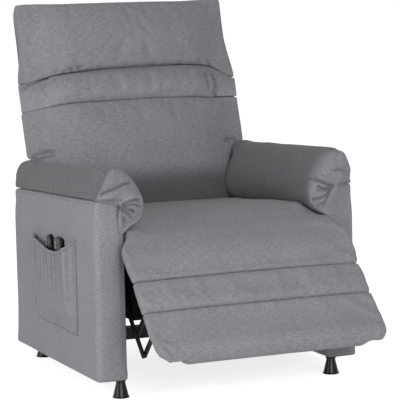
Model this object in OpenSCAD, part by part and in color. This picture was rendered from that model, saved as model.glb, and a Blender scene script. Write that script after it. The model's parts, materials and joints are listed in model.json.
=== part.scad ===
// Powered recliner armchair with padded arms, a split back and a chaise footrest.
// Left and right are as seen by someone who stands in front of the chair.
// Every outline is laid out with y = 0 at the front of the arms and z = 0 on the floor,
// and is then moved back by mid_y, so that the origin is under the middle of the chair.

/* [Arms] */
// Clear width between the two arm boxes
seat_opening = 626; // [600:1:680]
// Width of each arm box
arm_width = 87; // [76:1:110]
// Depth of each arm box, front to rear
arm_depth = 720; // [700:1:740]
// Height of the arm box at its front edge
arm_height = 562; // [556:1:575]
// Fall of the arm top towards the rear, in degrees
arm_slope = 2.6; // [2:0.1:3.4]
// Rounding of the upright corners of the arm box
arm_corner = 14; // [10:1:20]
// Thickness of the padded fabric cover of the arm
arm_skin = 8; // [6:1:10]
// Height of the padded roll above the arm box
arm_pad_height = 91; // [75:1:100]
// How far the padded roll hangs over the seat
arm_pad_overhang = 52; // [40:1:56]
// How far the padded roll stands in front of the arm box
arm_pad_nose = 30; // [15:1:34]

/* [Feet] */
// Height of each foot
foot_height = 50; // [40:1:70]
// Diameter of a foot at the floor
foot_floor_d = 49; // [40:1:60]
// Diameter of a foot where it meets the arm
foot_top_d = 26; // [22:1:34]
// Diameter of the foot's screw stud
foot_stud_d = 8; // [6:1:10]
// Length of the foot's screw stud
foot_stud_length = 26; // [18:1:34]
// Distance of each front foot from the front of the arm
front_foot_inset = 20; // [19:1:40]
// Distance of each rear foot from the rear of the arm
rear_foot_inset = 33; // [19:1:50]
// Distance of each foot from the inner side of the arm
foot_side_inset = 18; // [17:1:44]

/* [Pocket] */
// Length of the side pocket, front to rear
pocket_length = 372; // [340:1:400]
// Distance of the pocket from the front of the arm
pocket_front = 154; // [120:1:180]
// Height of the pocket's lower seam
pocket_bottom = 160; // [130:1:200]
// Height of the pocket's mouth at its front end
pocket_mouth_front = 436; // [420:1:450]
// Height of the pocket's mouth at its rear end
pocket_mouth_rear = 412; // [405:1:425]
// Height of the pocket's mouth where it sags most
pocket_mouth_low = 386; // [376:1:392]
// How far the pocket stands off the arm
pocket_bulge = 22; // [20:1:26]
// Thickness of the pocket cloth
pocket_cloth = 2.5; // [1.5:0.1:3]

/* [Hand controls] */
// Width of each hand control
handset_width = 62; // [50:1:68]
// Length of each hand control
handset_length = 150; // [120:1:180]
// Thickness of each hand control
handset_thickness = 18; // [14:1:19]
// Width of a push button
button_width = 14; // [10:1:18]
// Height of a push button
button_height = 10; // [8:1:12]
// How far a push button stands out of the case
button_proud = 1.4; // [1:0.1:2]
// Travel of a push button
button_travel = 0.8; // [0.5:0.1:1.2]

/* [Seat] */
// How far the crown of the seat cushion stands over the knee hinge
seat_crown_rise = 62; // [55:1:70]
// Depth of the seat cushion over the rear rail
seat_rear_depth = 80; // [72:1:90]
// Thickness of the wooden seat and back rails
board = 25; // [18:1:28]
// Depth of the seat's front rail
front_rail_height = 75; // [60:1:85]
// Depth of the seat's rear rail
rear_rail_height = 150; // [130:1:165]
// Number of spring wires in the seat
seat_spring_count = 5; // [3:1:6]
// Diameter of the spring wire
spring_wire = 4; // [3:0.5:5]
// Height of the lower hem of the cloth under the seat
lining_hem = 211; // [190:1:240]

/* [Footrest] */
// Distance of the knee hinge in front of the arm boxes
knee_forward = 10; // [8:1:14]
// Height of the knee hinge
knee_height = 450; // [446:1:454]
// Slope of the half open footrest below level, in degrees
footrest_slope = 45; // [43:1:47]
// Reach of the footrest from the knee hinge to its lower edge
footrest_reach = 420; // [405:1:425]
// Half width of the footrest pads in front of the arms
footrest_flare = 343; // [320:1:350]
// Distance from the knee hinge to the first seam
seam_one = 157; // [145:1:165]
// Distance from the knee hinge to the second seam
seam_two = 265; // [255:1:275]
// Thickness of the footrest board
footrest_board_t = 12; // [9:1:14]

/* [Back] */
// Lean of the back from upright, in degrees
back_tilt = 16; // [14:0.5:18]
// Length of the back from its hinge to its top
back_length = 705; // [680:1:730]
// How far each side of the back reaches out over its arm
back_overhang = 39; // [32:1:50]
// Height above the hinge at which the wings start
wing_start = 232; // [230:1:245]
// Height above the hinge of the seam under the neck roll
neck_seam_low = 372; // [360:1:380]
// Height above the hinge of the seam over the neck roll
neck_seam_high = 470; // [460:1:480]
// How far the lumbar and head cushions stand in front of the hinge line
cushion_crown = 128; // [110:1:135]
// How far the neck roll stands in front of the hinge line
neck_crown = 112; // [100:1:125]
// Depth of the back frame boards behind the hinge line
frame_rear = 62; // [55:1:70]
// How much narrower each side of the back is at its rear than in its middle
side_taper = 34; // [20:1:38]
// Thickness of the outer rear panel
rear_panel = 14; // [10:1:18]

/* [Mechanism] */
// Thickness of the steel links and plates
plate_t = 4; // [3:0.5:5]
// Side gap between two neighbouring links
link_gap = 2; // [1.5:0.1:2.5]
// Diameter of the link pins
pin_d = 8; // [6:1:10]
// Radial running clearance of a pin in its hole
pin_clearance = 0.05; // [0.02:0.01:0.08]
// Radial clearance at a pivot that closes a loop of links
loop_clearance = 0.3; // [0.2:0.05:0.5]
// Width of a link
link_width = 20; // [18:1:24]
// Length of the drive links, from the torque tube to the lower joint
drive_link_length = 262; // [255:1:266]
// Length of the front links, from the lower joint to the footrest
front_link_length = 189; // [183:1:193]
// Length of the links that carry the seat
seat_link_length = 140; // [130:1:146]
// Lean of the seat links towards the rear at rest, in degrees
seat_link_lean = 6; // [4:0.5:7]
// Diameter of the torque tube
torque_tube_d = 25; // [20:1:28]
// Length of the crank on the torque tube
crank_length = 60; // [56:1:62]
// Diameter of the actuator rod
rod_d = 16; // [12:1:18]

/* [Base] */
// Height of the steel side rails
base_rail_height = 44; // [40:1:50]
// Height of the underside of the side rails above the floor
base_rail_z = 116; // [112:1:120]
// Depth of a cross rail, front to rear
cross_rail_depth = 30; // [24:1:36]
// Height of a cross rail
cross_rail_height = 36; // [30:1:38]
// Wall of the cross rail tube
cross_rail_wall = 2; // [1.5:0.5:3]
// Diameter of the rail bolts
bolt_d = 8; // [6:1:10]

/* [Hidden] */

cloth = [0.46, 0.47, 0.48];
steel = [0.08, 0.08, 0.09];
timber = [0.72, 0.58, 0.40];
plastic = [0.05, 0.05, 0.06];

LEFT = -1;
RIGHT = 1;
// Gap that keeps two soft solids apart.
soft_gap = 0.5;
// Overlap that joins two shapes of one piece.
weld = 1;
// Radial clearance of a bolt or stud in its hole.
bolt_play = 0.1;

// Arms
arm_inner = seat_opening / 2;
back_half_width = arm_inner + back_overhang;
arm_outer = arm_inner + arm_width;
arm_middle = arm_inner + arm_width / 2;
foot_x = arm_inner + foot_side_inset;
arm_end_post = 40;
arm_floor_rail = 40;
arm_web = 12;

// Link layers, counted inwards from the side rail on the arm
rail_x = arm_inner - plate_t;
function layer(k) = rail_x - k * (plate_t + link_gap);
seat_link_x = layer(1);
seat_plate_x = layer(2);
drive_x = layer(3);
front_link_x = layer(4);
pin_r = pin_d / 2;
pin_tip = link_gap / 4;

// Knee, footrest and the links that push it
knee = [-knee_forward, knee_height];
slope_dir = [-cos(footrest_slope), -sin(footrest_slope)];
back_down = [cos(footrest_slope), -sin(footrest_slope)];
torque_axis = knee + front_link_length * back_down;
lower_joint = torque_axis + drive_link_length * slope_dir;
footrest_joint = knee + drive_link_length * slope_dir;
middle_share = 0.725;
middle_reach = drive_link_length * middle_share;
middle_joint = knee + middle_reach * slope_dir;
middle_cross = torque_axis + middle_reach * slope_dir;
knee_roll_r = 24;
pad_edge = drive_x - plate_t - link_gap - 4;
board_start = 45;
board_end = footrest_reach - 24;
flare_start = 82;
channel_depth = link_width / 2 + 2;
flange_depth = footrest_board_t + plate_t;
flange_inner = drive_x - 50;
upper_flange = [board_start, 155];
lower_flange = [drive_link_length + 36, 345];

// Back
hinge_setback = 60;
hinge_drop = 50;
hinge = [arm_depth - hinge_setback, knee_height - hinge_drop];
post_outer = drive_x;
post_front = -10;
cushion_rear = post_front - 2;
post_top = back_length - 25;
post_bottom = -30;
cheek_inner = post_outer + plate_t + 1;
low_half = seat_plate_x - 7;

// Seat links and the seat frame
seat_pivot_z = base_rail_z + base_rail_height / 2;
front_pivot = [150, seat_pivot_z];
rear_pivot = [hinge[0] - 160, seat_pivot_z];
seat_link_step = seat_link_length * [sin(seat_link_lean), cos(seat_link_lean)];
front_carry = front_pivot + seat_link_step;
rear_carry = rear_pivot + seat_link_step;
deck_z = knee_height - 30;
front_rail_y = 40;
rear_rail_y = hinge[0] - 60 - board;
rear_rail_top = hinge[1];
seat_half = seat_plate_x - 1;
spring_front = [front_rail_y + board / 2, deck_z + soft_gap];
spring_rear = [rear_rail_y + board / 2, rear_rail_top];
spring_rise = (spring_rear[1] - spring_front[1]) / (spring_rear[0] - spring_front[0]);
seat_crown = knee_height + seat_crown_rise;
seat_rear_top = rear_rail_top + seat_rear_depth;

// Actuator
rod_z = torque_axis[1] - crank_length * (1 + cos(45)) / 2;
crank_pin = torque_axis - [0, crank_length];
crank_pin_r = 5;
yoke_play = 2.5;
yoke_wall = 8;
guide_tube_r = rod_d / 2 + 7;
guide_front = torque_axis[0] + 91;
motor_front = rear_rail_y - 105;
rod_end = motor_front - 50;

// Base
front_cross_y = front_pivot[0] + 75;
rear_cross_y = rear_pivot[0] + 60;
bolt_rows = [85, front_cross_y + 60, rear_pivot[0] - 70, rear_cross_y + 70];

// The chair's middle, from its lower pad's edge to the top of its rear panel
pad_roll_r = 18;
front_reach = knee_forward + (footrest_reach - pad_roll_r) * cos(footrest_slope)
    + 12 * sin(footrest_slope) + pad_roll_r;
rear_reach = hinge[0] + (frame_rear + rear_panel) * cos(back_tilt) + back_length * sin(back_tilt);
mid_y = (rear_reach - front_reach) / 2;

// Sets a piece's outline into the chair's own frame.
module placed() {
    translate([0, -mid_y, 0]) children();
}

// Puts what is drawn for the right side on either side.
module side(s) {
    if (s < 0) mirror([1, 0, 0]) children();
    else children();
}

// Points of an arc about c, from angle a to angle b.
function arc(c, r, a, b, steps) =
    [for (i = [0:steps]) c + r * [cos(a + (b - a) * i / steps), sin(a + (b - a) * i / steps)]];

// A flat plate cut to an outline in the side view, from x over a thickness t.
module plate(outline, x, t) {
    translate([x, 0, 0]) rotate([90, 0, 90]) linear_extrude(t) polygon(outline);
}

// A round piece across the chair, centred on a side view point.
module disc(p, r, x, t) {
    translate([x, p[0], p[1]]) rotate([0, 90, 0]) cylinder(r = r, h = t, $fn = 48);
}

// A flat link with round ends between two side view points.
module bar(p, q, w, x, t) {
    a = atan2(q[1] - p[1], q[0] - p[0]);
    plate(concat(arc(q, w / 2, a - 90, a + 90, 12), arc(p, w / 2, a + 90, a + 270, 12)), x, t);
}

// A rectangle with round corners, its lower left corner at the origin.
module round_rect(w, d, r) {
    translate([r, 0]) square([w - 2 * r, d]);
    translate([0, r]) square([w, d - 2 * r]);
    for (x = [r, w - r], y = [r, d - r]) translate([x, y]) circle(r = r, $fn = 48);
}

// The sloping top of the arm.
module arm_incline() {
    translate([0, 0, arm_height]) rotate([-arm_slope, 0, 0]) translate([0, 0, -arm_height])
        children();
}

function arm_top(y) = arm_height - y * tan(arm_slope);

// The side view of the arm box, held in from its outside by a margin.
function arm_outline(m) = [[m, foot_height], [arm_depth - m, foot_height],
    [arm_depth - m, arm_top(arm_depth - m) - m], [m, arm_top(m) - m]];

module arm_box(m) {
    intersection() {
        plate(arm_outline(m), arm_inner + m, arm_width - 2 * m);
        translate([arm_inner + m, m, 0])
            linear_extrude(arm_height + arm_pad_height)
                round_rect(arm_width - 2 * m, arm_depth - 2 * m, arm_corner - m / 2);
    }
}

foot_rows = [front_foot_inset, arm_depth - rear_foot_inset];

module arm_frame(s) {
    inside = arm_width - 2 * arm_skin;
    rear_y = arm_depth - arm_skin - arm_end_post;
    color(timber) placed() side(s) difference() {
        intersection() {
            arm_box(arm_skin);
            union() {
                translate([arm_inner, arm_skin, 0])
                    cube([arm_width, arm_end_post, arm_height]);
                translate([arm_inner, rear_y, 0]) cube([arm_width, arm_end_post, arm_height]);
                translate([arm_inner, 0, foot_height])
                    cube([arm_width, arm_depth, arm_floor_rail]);
                arm_incline() translate([arm_inner, 0, arm_height - arm_skin - arm_floor_rail])
                    cube([arm_width, arm_depth + arm_corner, arm_floor_rail * 2]);
                translate([arm_middle - arm_web / 2, arm_skin, foot_height])
                    cube([arm_web, arm_depth - 2 * arm_skin, arm_height]);
                translate([arm_inner, arm_skin, base_rail_z - 20])
                    cube([inside / 2 + arm_skin, arm_depth - 2 * arm_skin, base_rail_height + 40]);
            }
        }
        for (y = foot_rows) translate([foot_x, y, foot_height - weld])
            cylinder(r = foot_stud_d / 2 + bolt_play, h = foot_stud_length + weld, $fn = 48);
        for (y = bolt_rows)
            disc([y, seat_pivot_z], bolt_d / 2 + bolt_play, arm_inner, arm_skin + 24);
    }
}

module arm_cover(s) {
    color(cloth) placed() side(s) difference() {
        arm_box(0);
        arm_box(arm_skin);
        for (y = bolt_rows)
            disc([y, seat_pivot_z], bolt_d / 2 + bolt_play, arm_inner - weld, arm_skin * 2);
        for (y = foot_rows) translate([foot_x, y, foot_height - weld])
            cylinder(r = foot_stud_d / 2 + bolt_play, h = arm_skin * 2, $fn = 48);
    }
}

// The front view of the arm's padded roll, measured from the arm box's inner top edge.
// The roll bulges past the outside of the box and hangs over the seat inside.
function roll_outline() = concat(
    [[0, 0], [arm_width + 4, 0]],
    arc([arm_width - 22, 26], 32, -20, 42, 4),
    arc([arm_width - 37, arm_pad_height - 38], 38, 62, 118, 5),
    arc([-arm_pad_overhang + 62, 5], 58, 132, 168, 3),
    arc([-arm_pad_overhang + 20, -12], 20, 172, 232, 4),
    [[-18, -52], [-6, -72], [-1, -86], [0, -88]]);

module arm_pad(s) {
    rear_top = [arm_depth - 30, arm_height + arm_pad_height - 36];
    color(cloth) placed() side(s) arm_incline() intersection() {
        difference() {
            translate([arm_inner, -arm_pad_nose, arm_height]) rotate([90, 0, 0])
                mirror([0, 0, 1]) linear_extrude(arm_depth + arm_pad_nose)
                    polygon(roll_outline());
            translate([arm_inner - arm_pad_overhang - weld, hinge[0] - 35, 0])
                cube([arm_pad_overhang - 8 + weld, arm_depth, arm_height * 2]);
        }
        plate(concat(
            [[-arm_pad_nose + 18, arm_height - 100], [arm_depth + 4, arm_height - 100]],
            arc(rear_top, 34, 0, 90, 6),
            arc([28 - arm_pad_nose, arm_height + arm_pad_height - 24], 28, 90, 180, 6)),
            arm_inner - arm_pad_overhang - weld, arm_width + arm_pad_overhang + 40);
    }
}

// The side view of the pocket's mouth: a hem that sags between its two corners.
function pocket_outline(m) = [
    [pocket_front + m, pocket_bottom + m],
    [pocket_front + pocket_length - 40, pocket_bottom + m],
    [pocket_front + pocket_length - m, pocket_bottom + 40],
    [pocket_front + pocket_length - m, pocket_mouth_rear],
    [pocket_front + pocket_length * 0.72, pocket_mouth_low + 4],
    [pocket_front + pocket_length * 0.5, pocket_mouth_low],
    [pocket_front + pocket_length * 0.3, pocket_mouth_low + 10],
    [pocket_front + m, pocket_mouth_front]];

module side_pocket() {
    inside = concat([for (i = [0:2]) pocket_outline(pocket_cloth)[i]],
        [[pocket_front + pocket_length - pocket_cloth, arm_height],
        [pocket_front + pocket_cloth, arm_height]]);
    color(cloth) placed() side(LEFT) difference() {
        plate(pocket_outline(0), arm_outer, pocket_bulge);
        plate(inside, arm_outer - weld, pocket_bulge - pocket_cloth + weld);
    }
}

// A pair of conical feet, one under each arm, with the studs that hold them.
module foot_pair(y) {
    color(plastic) placed() for (s = [LEFT, RIGHT]) translate([s * foot_x, y, 0]) {
        cylinder(d1 = foot_floor_d, d2 = foot_top_d, h = foot_height, $fn = 64);
        translate([0, 0, foot_height - weld])
            cylinder(d = foot_stud_d, h = foot_stud_length, $fn = 48);
    }
}

// Base
module base_rail(s) {
    y0 = 60;
    y1 = rear_cross_y + cross_rail_depth + 70;
    flange_y = front_pivot[0] + 40;
    color(steel) placed() side(s) {
        difference() {
            translate([rail_x, y0, base_rail_z]) cube([plate_t, y1 - y0, base_rail_height]);
            for (y = bolt_rows)
                disc([y, seat_pivot_z], bolt_d / 2 + bolt_play, rail_x - weld, plate_t * 2);
        }
        translate([rail_x - 24, flange_y, base_rail_z])
            cube([24 + weld, y1 - flange_y, plate_t]);
        for (p = [front_pivot, rear_pivot])
            disc(p, pin_r, seat_link_x - pin_tip, plate_t + link_gap + pin_tip + weld);
    }
}

module cross_rail(y) {
    color(steel) placed() translate([0, y, base_rail_z + plate_t]) difference() {
        translate([-rail_x, 0, 0]) cube([2 * rail_x, cross_rail_depth, cross_rail_height]);
        translate([-rail_x - weld, cross_rail_wall, cross_rail_wall])
            cube([2 * (rail_x + weld), cross_rail_depth - 2 * cross_rail_wall,
                cross_rail_height - 2 * cross_rail_wall]);
    }
}

module rail_bolts() {
    head_t = link_gap + 3;
    color(steel) placed() for (s = [LEFT, RIGHT], y = bolt_rows) side(s) {
        disc([y, seat_pivot_z], bolt_d / 2, rail_x - weld, plate_t + arm_skin + 20 + weld);
        disc([y, seat_pivot_z], bolt_d * 0.8, rail_x - head_t, head_t);
    }
}

module power_inlet() {
    body_w = 46;
    body_h = 28;
    socket_r = 4;
    z = base_rail_z + plate_t + cross_rail_height / 2;
    y = rear_cross_y + cross_rail_depth;
    color(plastic) placed() difference() {
        translate([-body_w / 2, y, z - body_h / 2]) cube([body_w, 30, body_h]);
        translate([0, y + 16, z]) rotate([-90, 0, 0]) cylinder(r = socket_r, h = 20, $fn = 48);
    }
}

// Links that carry the seat on the side rails. The tree of joints runs through the front
// left link, and the upper holes of the other three have the larger clearance.
module seat_link(s, pivot, upper_clearance) {
    carry = pivot + seat_link_step;
    color(steel) placed() side(s) difference() {
        bar(pivot, carry, link_width + 4, seat_link_x, plate_t);
        disc(pivot, pin_r + pin_clearance, seat_link_x - weld, plate_t * 2);
        disc(carry, pin_r + upper_clearance, seat_link_x - weld, plate_t * 2);
    }
}

// Seat
module seat_plate(s) {
    tube_eye = torque_tube_d / 2 + 10;
    deck = deck_z - 5;
    color(steel) placed() side(s) {
        difference() {
            union() {
                plate([knee, torque_axis, front_carry, rear_carry, hinge,
                    [hinge[0] - 60, deck], [front_rail_y + board + 5, deck]],
                    seat_plate_x, plate_t);
                bar(knee, torque_axis, link_width + 10, seat_plate_x, plate_t);
                bar(front_carry, rear_carry, link_width + 8, seat_plate_x, plate_t);
                bar(rear_carry, hinge, link_width + 16, seat_plate_x, plate_t);
                disc(torque_axis, tube_eye, seat_plate_x, plate_t);
            }
            disc(torque_axis, torque_tube_d / 2 + pin_clearance, seat_plate_x - weld, plate_t * 2);
        }
        for (p = [front_carry, rear_carry])
            disc(p, pin_r, seat_plate_x + plate_t - weld, plate_t + link_gap + pin_tip + weld);
        for (p = [knee, hinge])
            disc(p, pin_r, drive_x - pin_tip, plate_t + link_gap + pin_tip + weld);
    }
}

module seat_front_rail() {
    color(timber) placed() translate([-seat_plate_x, front_rail_y, deck_z - front_rail_height])
        cube([2 * seat_plate_x, board, front_rail_height]);
}

module seat_rear_rail() {
    color(timber) placed()
        translate([-seat_plate_x, rear_rail_y, rear_rail_top - rear_rail_height])
            cube([2 * seat_plate_x, board, rear_rail_height]);
}

// One edge of a waving wire along +X, set off from its middle by half the wire.
function wave_edge(length, swing, waves, offset, steps) = [for (i = [0:steps])
    let (u = i / steps, turn = 360 * waves * u,
        slope = swing * 2 * PI * waves / length * cos(turn))
    [length * u, swing * sin(turn)] + offset * [-slope, 1] / sqrt(1 + slope * slope)];

// A flat sinuous spring along +X.
module wavy_wire(length, width, waves) {
    steps = waves * 10;
    upper = wave_edge(length, width / 2, waves, spring_wire / 2, steps);
    lower = wave_edge(length, width / 2, waves, -spring_wire / 2, steps);
    polygon(concat(upper, [for (i = [steps:-1:0]) lower[i]]));
}

module seat_springs() {
    span = norm(spring_rear - spring_front);
    pitch = 2 * (seat_half - 60) / (seat_spring_count - 1);
    color(steel) placed() for (i = [0:seat_spring_count - 1])
        translate([-seat_half + 60 + i * pitch, spring_front[0], spring_front[1]])
            rotate([atan(spring_rise), 0, 0]) rotate([0, 0, 90])
                linear_extrude(spring_wire) wavy_wire(span, 46, 9);
}

module seat_cushion() {
    rear_y = hinge[0] - 63;
    front_y = knee_roll_r - knee_forward + soft_gap;
    lift = spring_wire * sqrt(1 + spring_rise * spring_rise) + soft_gap;
    color(cloth) placed() hull() {
        for (y = [front_y + 10, rear_y - 10])
            translate([-seat_half + 8, y, spring_front[1] + (y - spring_front[0]) * spring_rise + lift])
                cube([2 * (seat_half - 8), 0.1, 1]);
        for (s = [LEFT, RIGHT]) {
            translate([s * (seat_half - 18), front_y + 20, knee_height - 2])
                sphere(r = 18, $fn = 32);
            translate([s * (seat_half - 30), front_y + 90, seat_crown - 50])
                sphere(r = 30, $fn = 32);
            translate([s * (seat_half - 22), rear_y - 22, seat_rear_top - 30])
                sphere(r = 22, $fn = 32);
        }
        translate([0, front_y + 170, seat_crown - 30]) scale([200, 130, 30])
            sphere(r = 1, $fn = 32);
        translate([0, rear_y - 60, seat_rear_top - 25]) scale([200, 60, 25])
            sphere(r = 1, $fn = 32);
    }
}

module seat_lining() {
    lining_t = 3;
    half = front_link_x - 7;
    color(plastic) placed() translate([-half, front_rail_y - lining_t, lining_hem])
        cube([2 * half, lining_t, deck_z - 10 - lining_hem]);
}

// Actuator: a motor with a guide tube, and a rod whose slotted end carries the crank's pin.
module actuator_motor() {
    half = 38;
    height = 80;
    motor_z = rod_z - 38;
    color(plastic) placed() difference() {
        union() {
            translate([-half, motor_front, motor_z])
                cube([2 * half, rear_rail_y - motor_front, height]);
            translate([0, guide_front, rod_z]) rotate([-90, 0, 0])
                cylinder(r = guide_tube_r, h = motor_front - guide_front + weld, $fn = 48);
            translate([half + 12, motor_front + 20, rod_z]) rotate([-90, 0, 0])
                cylinder(r = 26, h = rear_rail_y - motor_front - 20, $fn = 48);
        }
        translate([0, guide_front - weld, rod_z]) rotate([-90, 0, 0])
            cylinder(r = rod_d / 2 + pin_clearance, h = motor_front - guide_front + weld, $fn = 48);
    }
}

module actuator_rod() {
    half = 6;
    slot = crank_pin_r + yoke_play;
    low = crank_pin[1];
    high = torque_axis[1] - crank_length * cos(45);
    front = crank_pin[0] - slot - yoke_wall;
    depth = 2 * (slot + yoke_wall);
    reach = crank_pin_r + 3;
    color(steel) placed() {
        difference() {
            translate([-half, front, low - reach - yoke_wall])
                cube([2 * half, depth, high - low + 2 * (reach + yoke_wall)]);
            yoke_slot([crank_pin[0], low], [crank_pin[0], high], slot, half);
        }
        translate([0, front + depth - weld, rod_z]) rotate([-90, 0, 0])
            cylinder(d = rod_d, h = rod_end - front - depth + weld, $fn = 48);
    }
}

// A slot through the rod's end, tall enough for the pin over the whole swing.
module yoke_slot(p, q, r, half) {
    bar(p, q, 2 * r, -half - weld, 2 * (half + weld));
}

module drive_link(s) {
    color(steel) placed() side(s) {
        difference() {
            union() {
                bar(torque_axis, lower_joint, link_width, drive_x, plate_t);
                disc(torque_axis, torque_tube_d / 2 + 7, drive_x, plate_t);
            }
            disc(torque_axis, torque_tube_d / 2, drive_x - weld, plate_t * 2);
        }
        for (p = [lower_joint, middle_cross])
            disc(p, pin_r, front_link_x - pin_tip, plate_t + link_gap + pin_tip + weld);
    }
}

module torque_tube() {
    bore_r = torque_tube_d / 2 - 3;
    end_x = seat_plate_x + plate_t;
    crank_x = 10;
    crank_t = 5;
    color(steel) placed() {
        difference() {
            union() {
                disc(torque_axis, torque_tube_d / 2, -end_x, 2 * end_x);
                for (x = [-crank_x - crank_t, crank_x])
                    bar(torque_axis, crank_pin, torque_tube_d - 3, x, crank_t);
            }
            disc(torque_axis, bore_r, -end_x - weld, 2 * (end_x + weld));
        }
        disc(crank_pin, crank_pin_r, -crank_x - crank_t / 2, 2 * crank_x + crank_t);
    }
}

// Sets a piece drawn along the footrest: y runs down from the knee, z stands out of it.
module along_footrest() {
    translate([0, knee[0], knee[1]]) rotate([-footrest_slope, 0, 180]) mirror([1, 0, 0])
        children();
}

module footrest_bracket(s) {
    color(steel) placed() side(s) {
        difference() {
            union() {
                disc(knee, flange_depth, drive_x, plate_t);
                along_footrest() {
                    translate([drive_x, 0, -flange_depth])
                        cube([plate_t, lower_flange[1], flange_depth + link_width / 2 - 1]);
                    for (f = [upper_flange, lower_flange])
                        translate([flange_inner, f[0], -flange_depth])
                            cube([drive_x - flange_inner + weld, f[1] - f[0], plate_t]);
                }
            }
            disc(knee, pin_r + pin_clearance, drive_x - weld, plate_t * 2);
        }
        for (p = [footrest_joint, middle_joint])
            disc(p, pin_r, front_link_x - pin_tip, plate_t + link_gap + pin_tip + weld);
    }
}

module footrest_board() {
    color(timber) placed() along_footrest()
        translate([-pad_edge, board_start, -footrest_board_t])
            cube([2 * pad_edge, board_end - board_start, footrest_board_t]);
}

// Room beside the board for the links.
module link_channels() {
    for (s = [LEFT, RIGHT]) side(s)
        translate([pad_edge + weld, -weld, -flange_depth * 2])
            cube([seat_plate_x + weld - pad_edge, footrest_reach, flange_depth * 2 + channel_depth]);
}

module chaise_upper_pad() {
    color(cloth) placed() along_footrest() {
        difference() {
            union() {
                hull() for (s = [LEFT, RIGHT]) {
                    translate([s * (pad_edge - 14), 8, 6]) sphere(r = 14, $fn = 32);
                    translate([s * (pad_edge - 14), 88, 21]) sphere(r = 14, $fn = 32);
                    translate([s * (pad_edge - 10), seam_one - 10, 12]) sphere(r = 10, $fn = 32);
                }
                hull() for (s = [LEFT, RIGHT]) {
                    translate([s * (footrest_flare - 17), flare_start + 17, 18])
                        sphere(r = 17, $fn = 32);
                    translate([s * (footrest_flare - 10), seam_one - 10, 14])
                        sphere(r = 10, $fn = 32);
                    translate([s * 200, flare_start + 12, 19]) sphere(r = 17, $fn = 32);
                }
            }
            translate([-footrest_flare, -knee_roll_r, -40])
                cube([2 * footrest_flare, footrest_reach, 40 + soft_gap / 5]);
            link_channels();
        }
        rotate([0, 90, 0]) translate([0, 0, -pad_edge])
            cylinder(r = knee_roll_r, h = 2 * pad_edge, $fn = 48);
    }
}

// A padded panel of the footrest between two distances from the knee.
module chaise_panel(u0, u1, half, crown) {
    r = crown / 2;
    difference() {
        hull() {
            for (s = [LEFT, RIGHT], u = [u0 + r, u1 - r])
                translate([s * (half - r), u, r]) sphere(r = r, $fn = 32);
            translate([0, (u0 + u1) / 2, r + 2]) scale([half * 0.6, (u1 - u0) / 2 - 4, r + 4])
                sphere(r = 1, $fn = 32);
        }
        translate([-footrest_flare - weld, 0, -40])
            cube([2 * (footrest_flare + weld), footrest_reach, 40 + soft_gap / 5]);
        link_channels();
    }
}

module chaise_band_pad() {
    color(cloth) placed() along_footrest()
        chaise_panel(seam_one + soft_gap, seam_two - soft_gap, footrest_flare, 26);
}

module chaise_lower_pad() {
    half = footrest_flare - 5;
    color(cloth) placed() along_footrest() {
        difference() {
            hull() for (s = [LEFT, RIGHT]) {
                translate([s * (half - 12), seam_two + soft_gap + 12, 13]) sphere(r = 12, $fn = 32);
                translate([s * (half - 15), footrest_reach - 45, 17]) sphere(r = 15, $fn = 32);
                translate([s * (half - 30), footrest_reach - pad_roll_r, 12])
                    sphere(r = pad_roll_r, $fn = 32);
            }
            translate([-footrest_flare, 0, -40])
                cube([2 * footrest_flare, board_end + soft_gap / 5, 40 + soft_gap / 5]);
            link_channels();
        }
    }
}

// The flat links between the footrest and the drive links.
module cross_link(s, upper, lower) {
    color(steel) placed() side(s) difference() {
        bar(upper, lower, link_width - 2, front_link_x, plate_t);
        disc(upper, pin_r + pin_clearance, front_link_x - weld, plate_t * 2);
        disc(lower, pin_r + loop_clearance, front_link_x - weld, plate_t * 2);
    }
}

// Back: drawn upright with the hinge at the origin, then leaned to its rest angle.
module leaned() {
    translate([0, hinge[0], hinge[1]]) rotate([-back_tilt, 0, 0]) children();
}

module back_bracket(s) {
    color(steel) placed() side(s) leaned() difference() {
        bar([0, 0], [0, 205], 28, drive_x, plate_t);
        disc([0, 0], pin_r + pin_clearance, drive_x - weld, plate_t * 2);
    }
}

module back_post(s) {
    color(timber) placed() side(s) leaned()
        difference() {
            translate([post_outer - board, post_front, post_bottom])
                cube([board, frame_rear - post_front, post_top - post_bottom]);
            disc([0, 0], pin_r + 3, post_outer - 4, 5);
        }
}

module back_rail(z) {
    color(timber) placed() leaned()
        translate([board - post_outer, post_front, z])
            cube([2 * (post_outer - board), frame_rear - post_front, board]);
}

module back_springs() {
    span = 2 * (post_outer - board / 2);
    color(steel) placed() leaned() for (z = [130:115:post_top - 60])
        translate([-span / 2, post_front, z]) rotate([90, 0, 0])
            linear_extrude(spring_wire / 2) wavy_wire(span, 46, 10);
}

// The side cheek of a back cushion, which wraps round the frame and narrows to the rear.
module cheek(z0, z1, edge) {
    r = 14;
    front = cushion_rear - r;
    rear = frame_rear - soft_gap;
    translate([0, 0, z0]) linear_extrude(z1 - z0)
        polygon(concat([[cheek_inner, rear], [cheek_inner, front]],
            arc([edge - r, front + r], r, -90, 0, 8),
            [[edge, 20], [edge - side_taper, rear]]));
}

module keep_in_front(z0, z1) {
    intersection() {
        children();
        translate([-back_half_width * 2, -cushion_crown * 2, z0])
            cube([back_half_width * 4, cushion_crown * 2 + cushion_rear, z1 - z0]);
    }
}

// The front view of the lumbar cushion: narrow between the arms, wide above them.
function lumbar_outline(low, wing, top, edge) = [[-low_half, low], [low_half, low],
    [low_half, wing], [edge, wing], [edge, top], [-edge, top], [-edge, wing], [-low_half, wing]];

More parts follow.
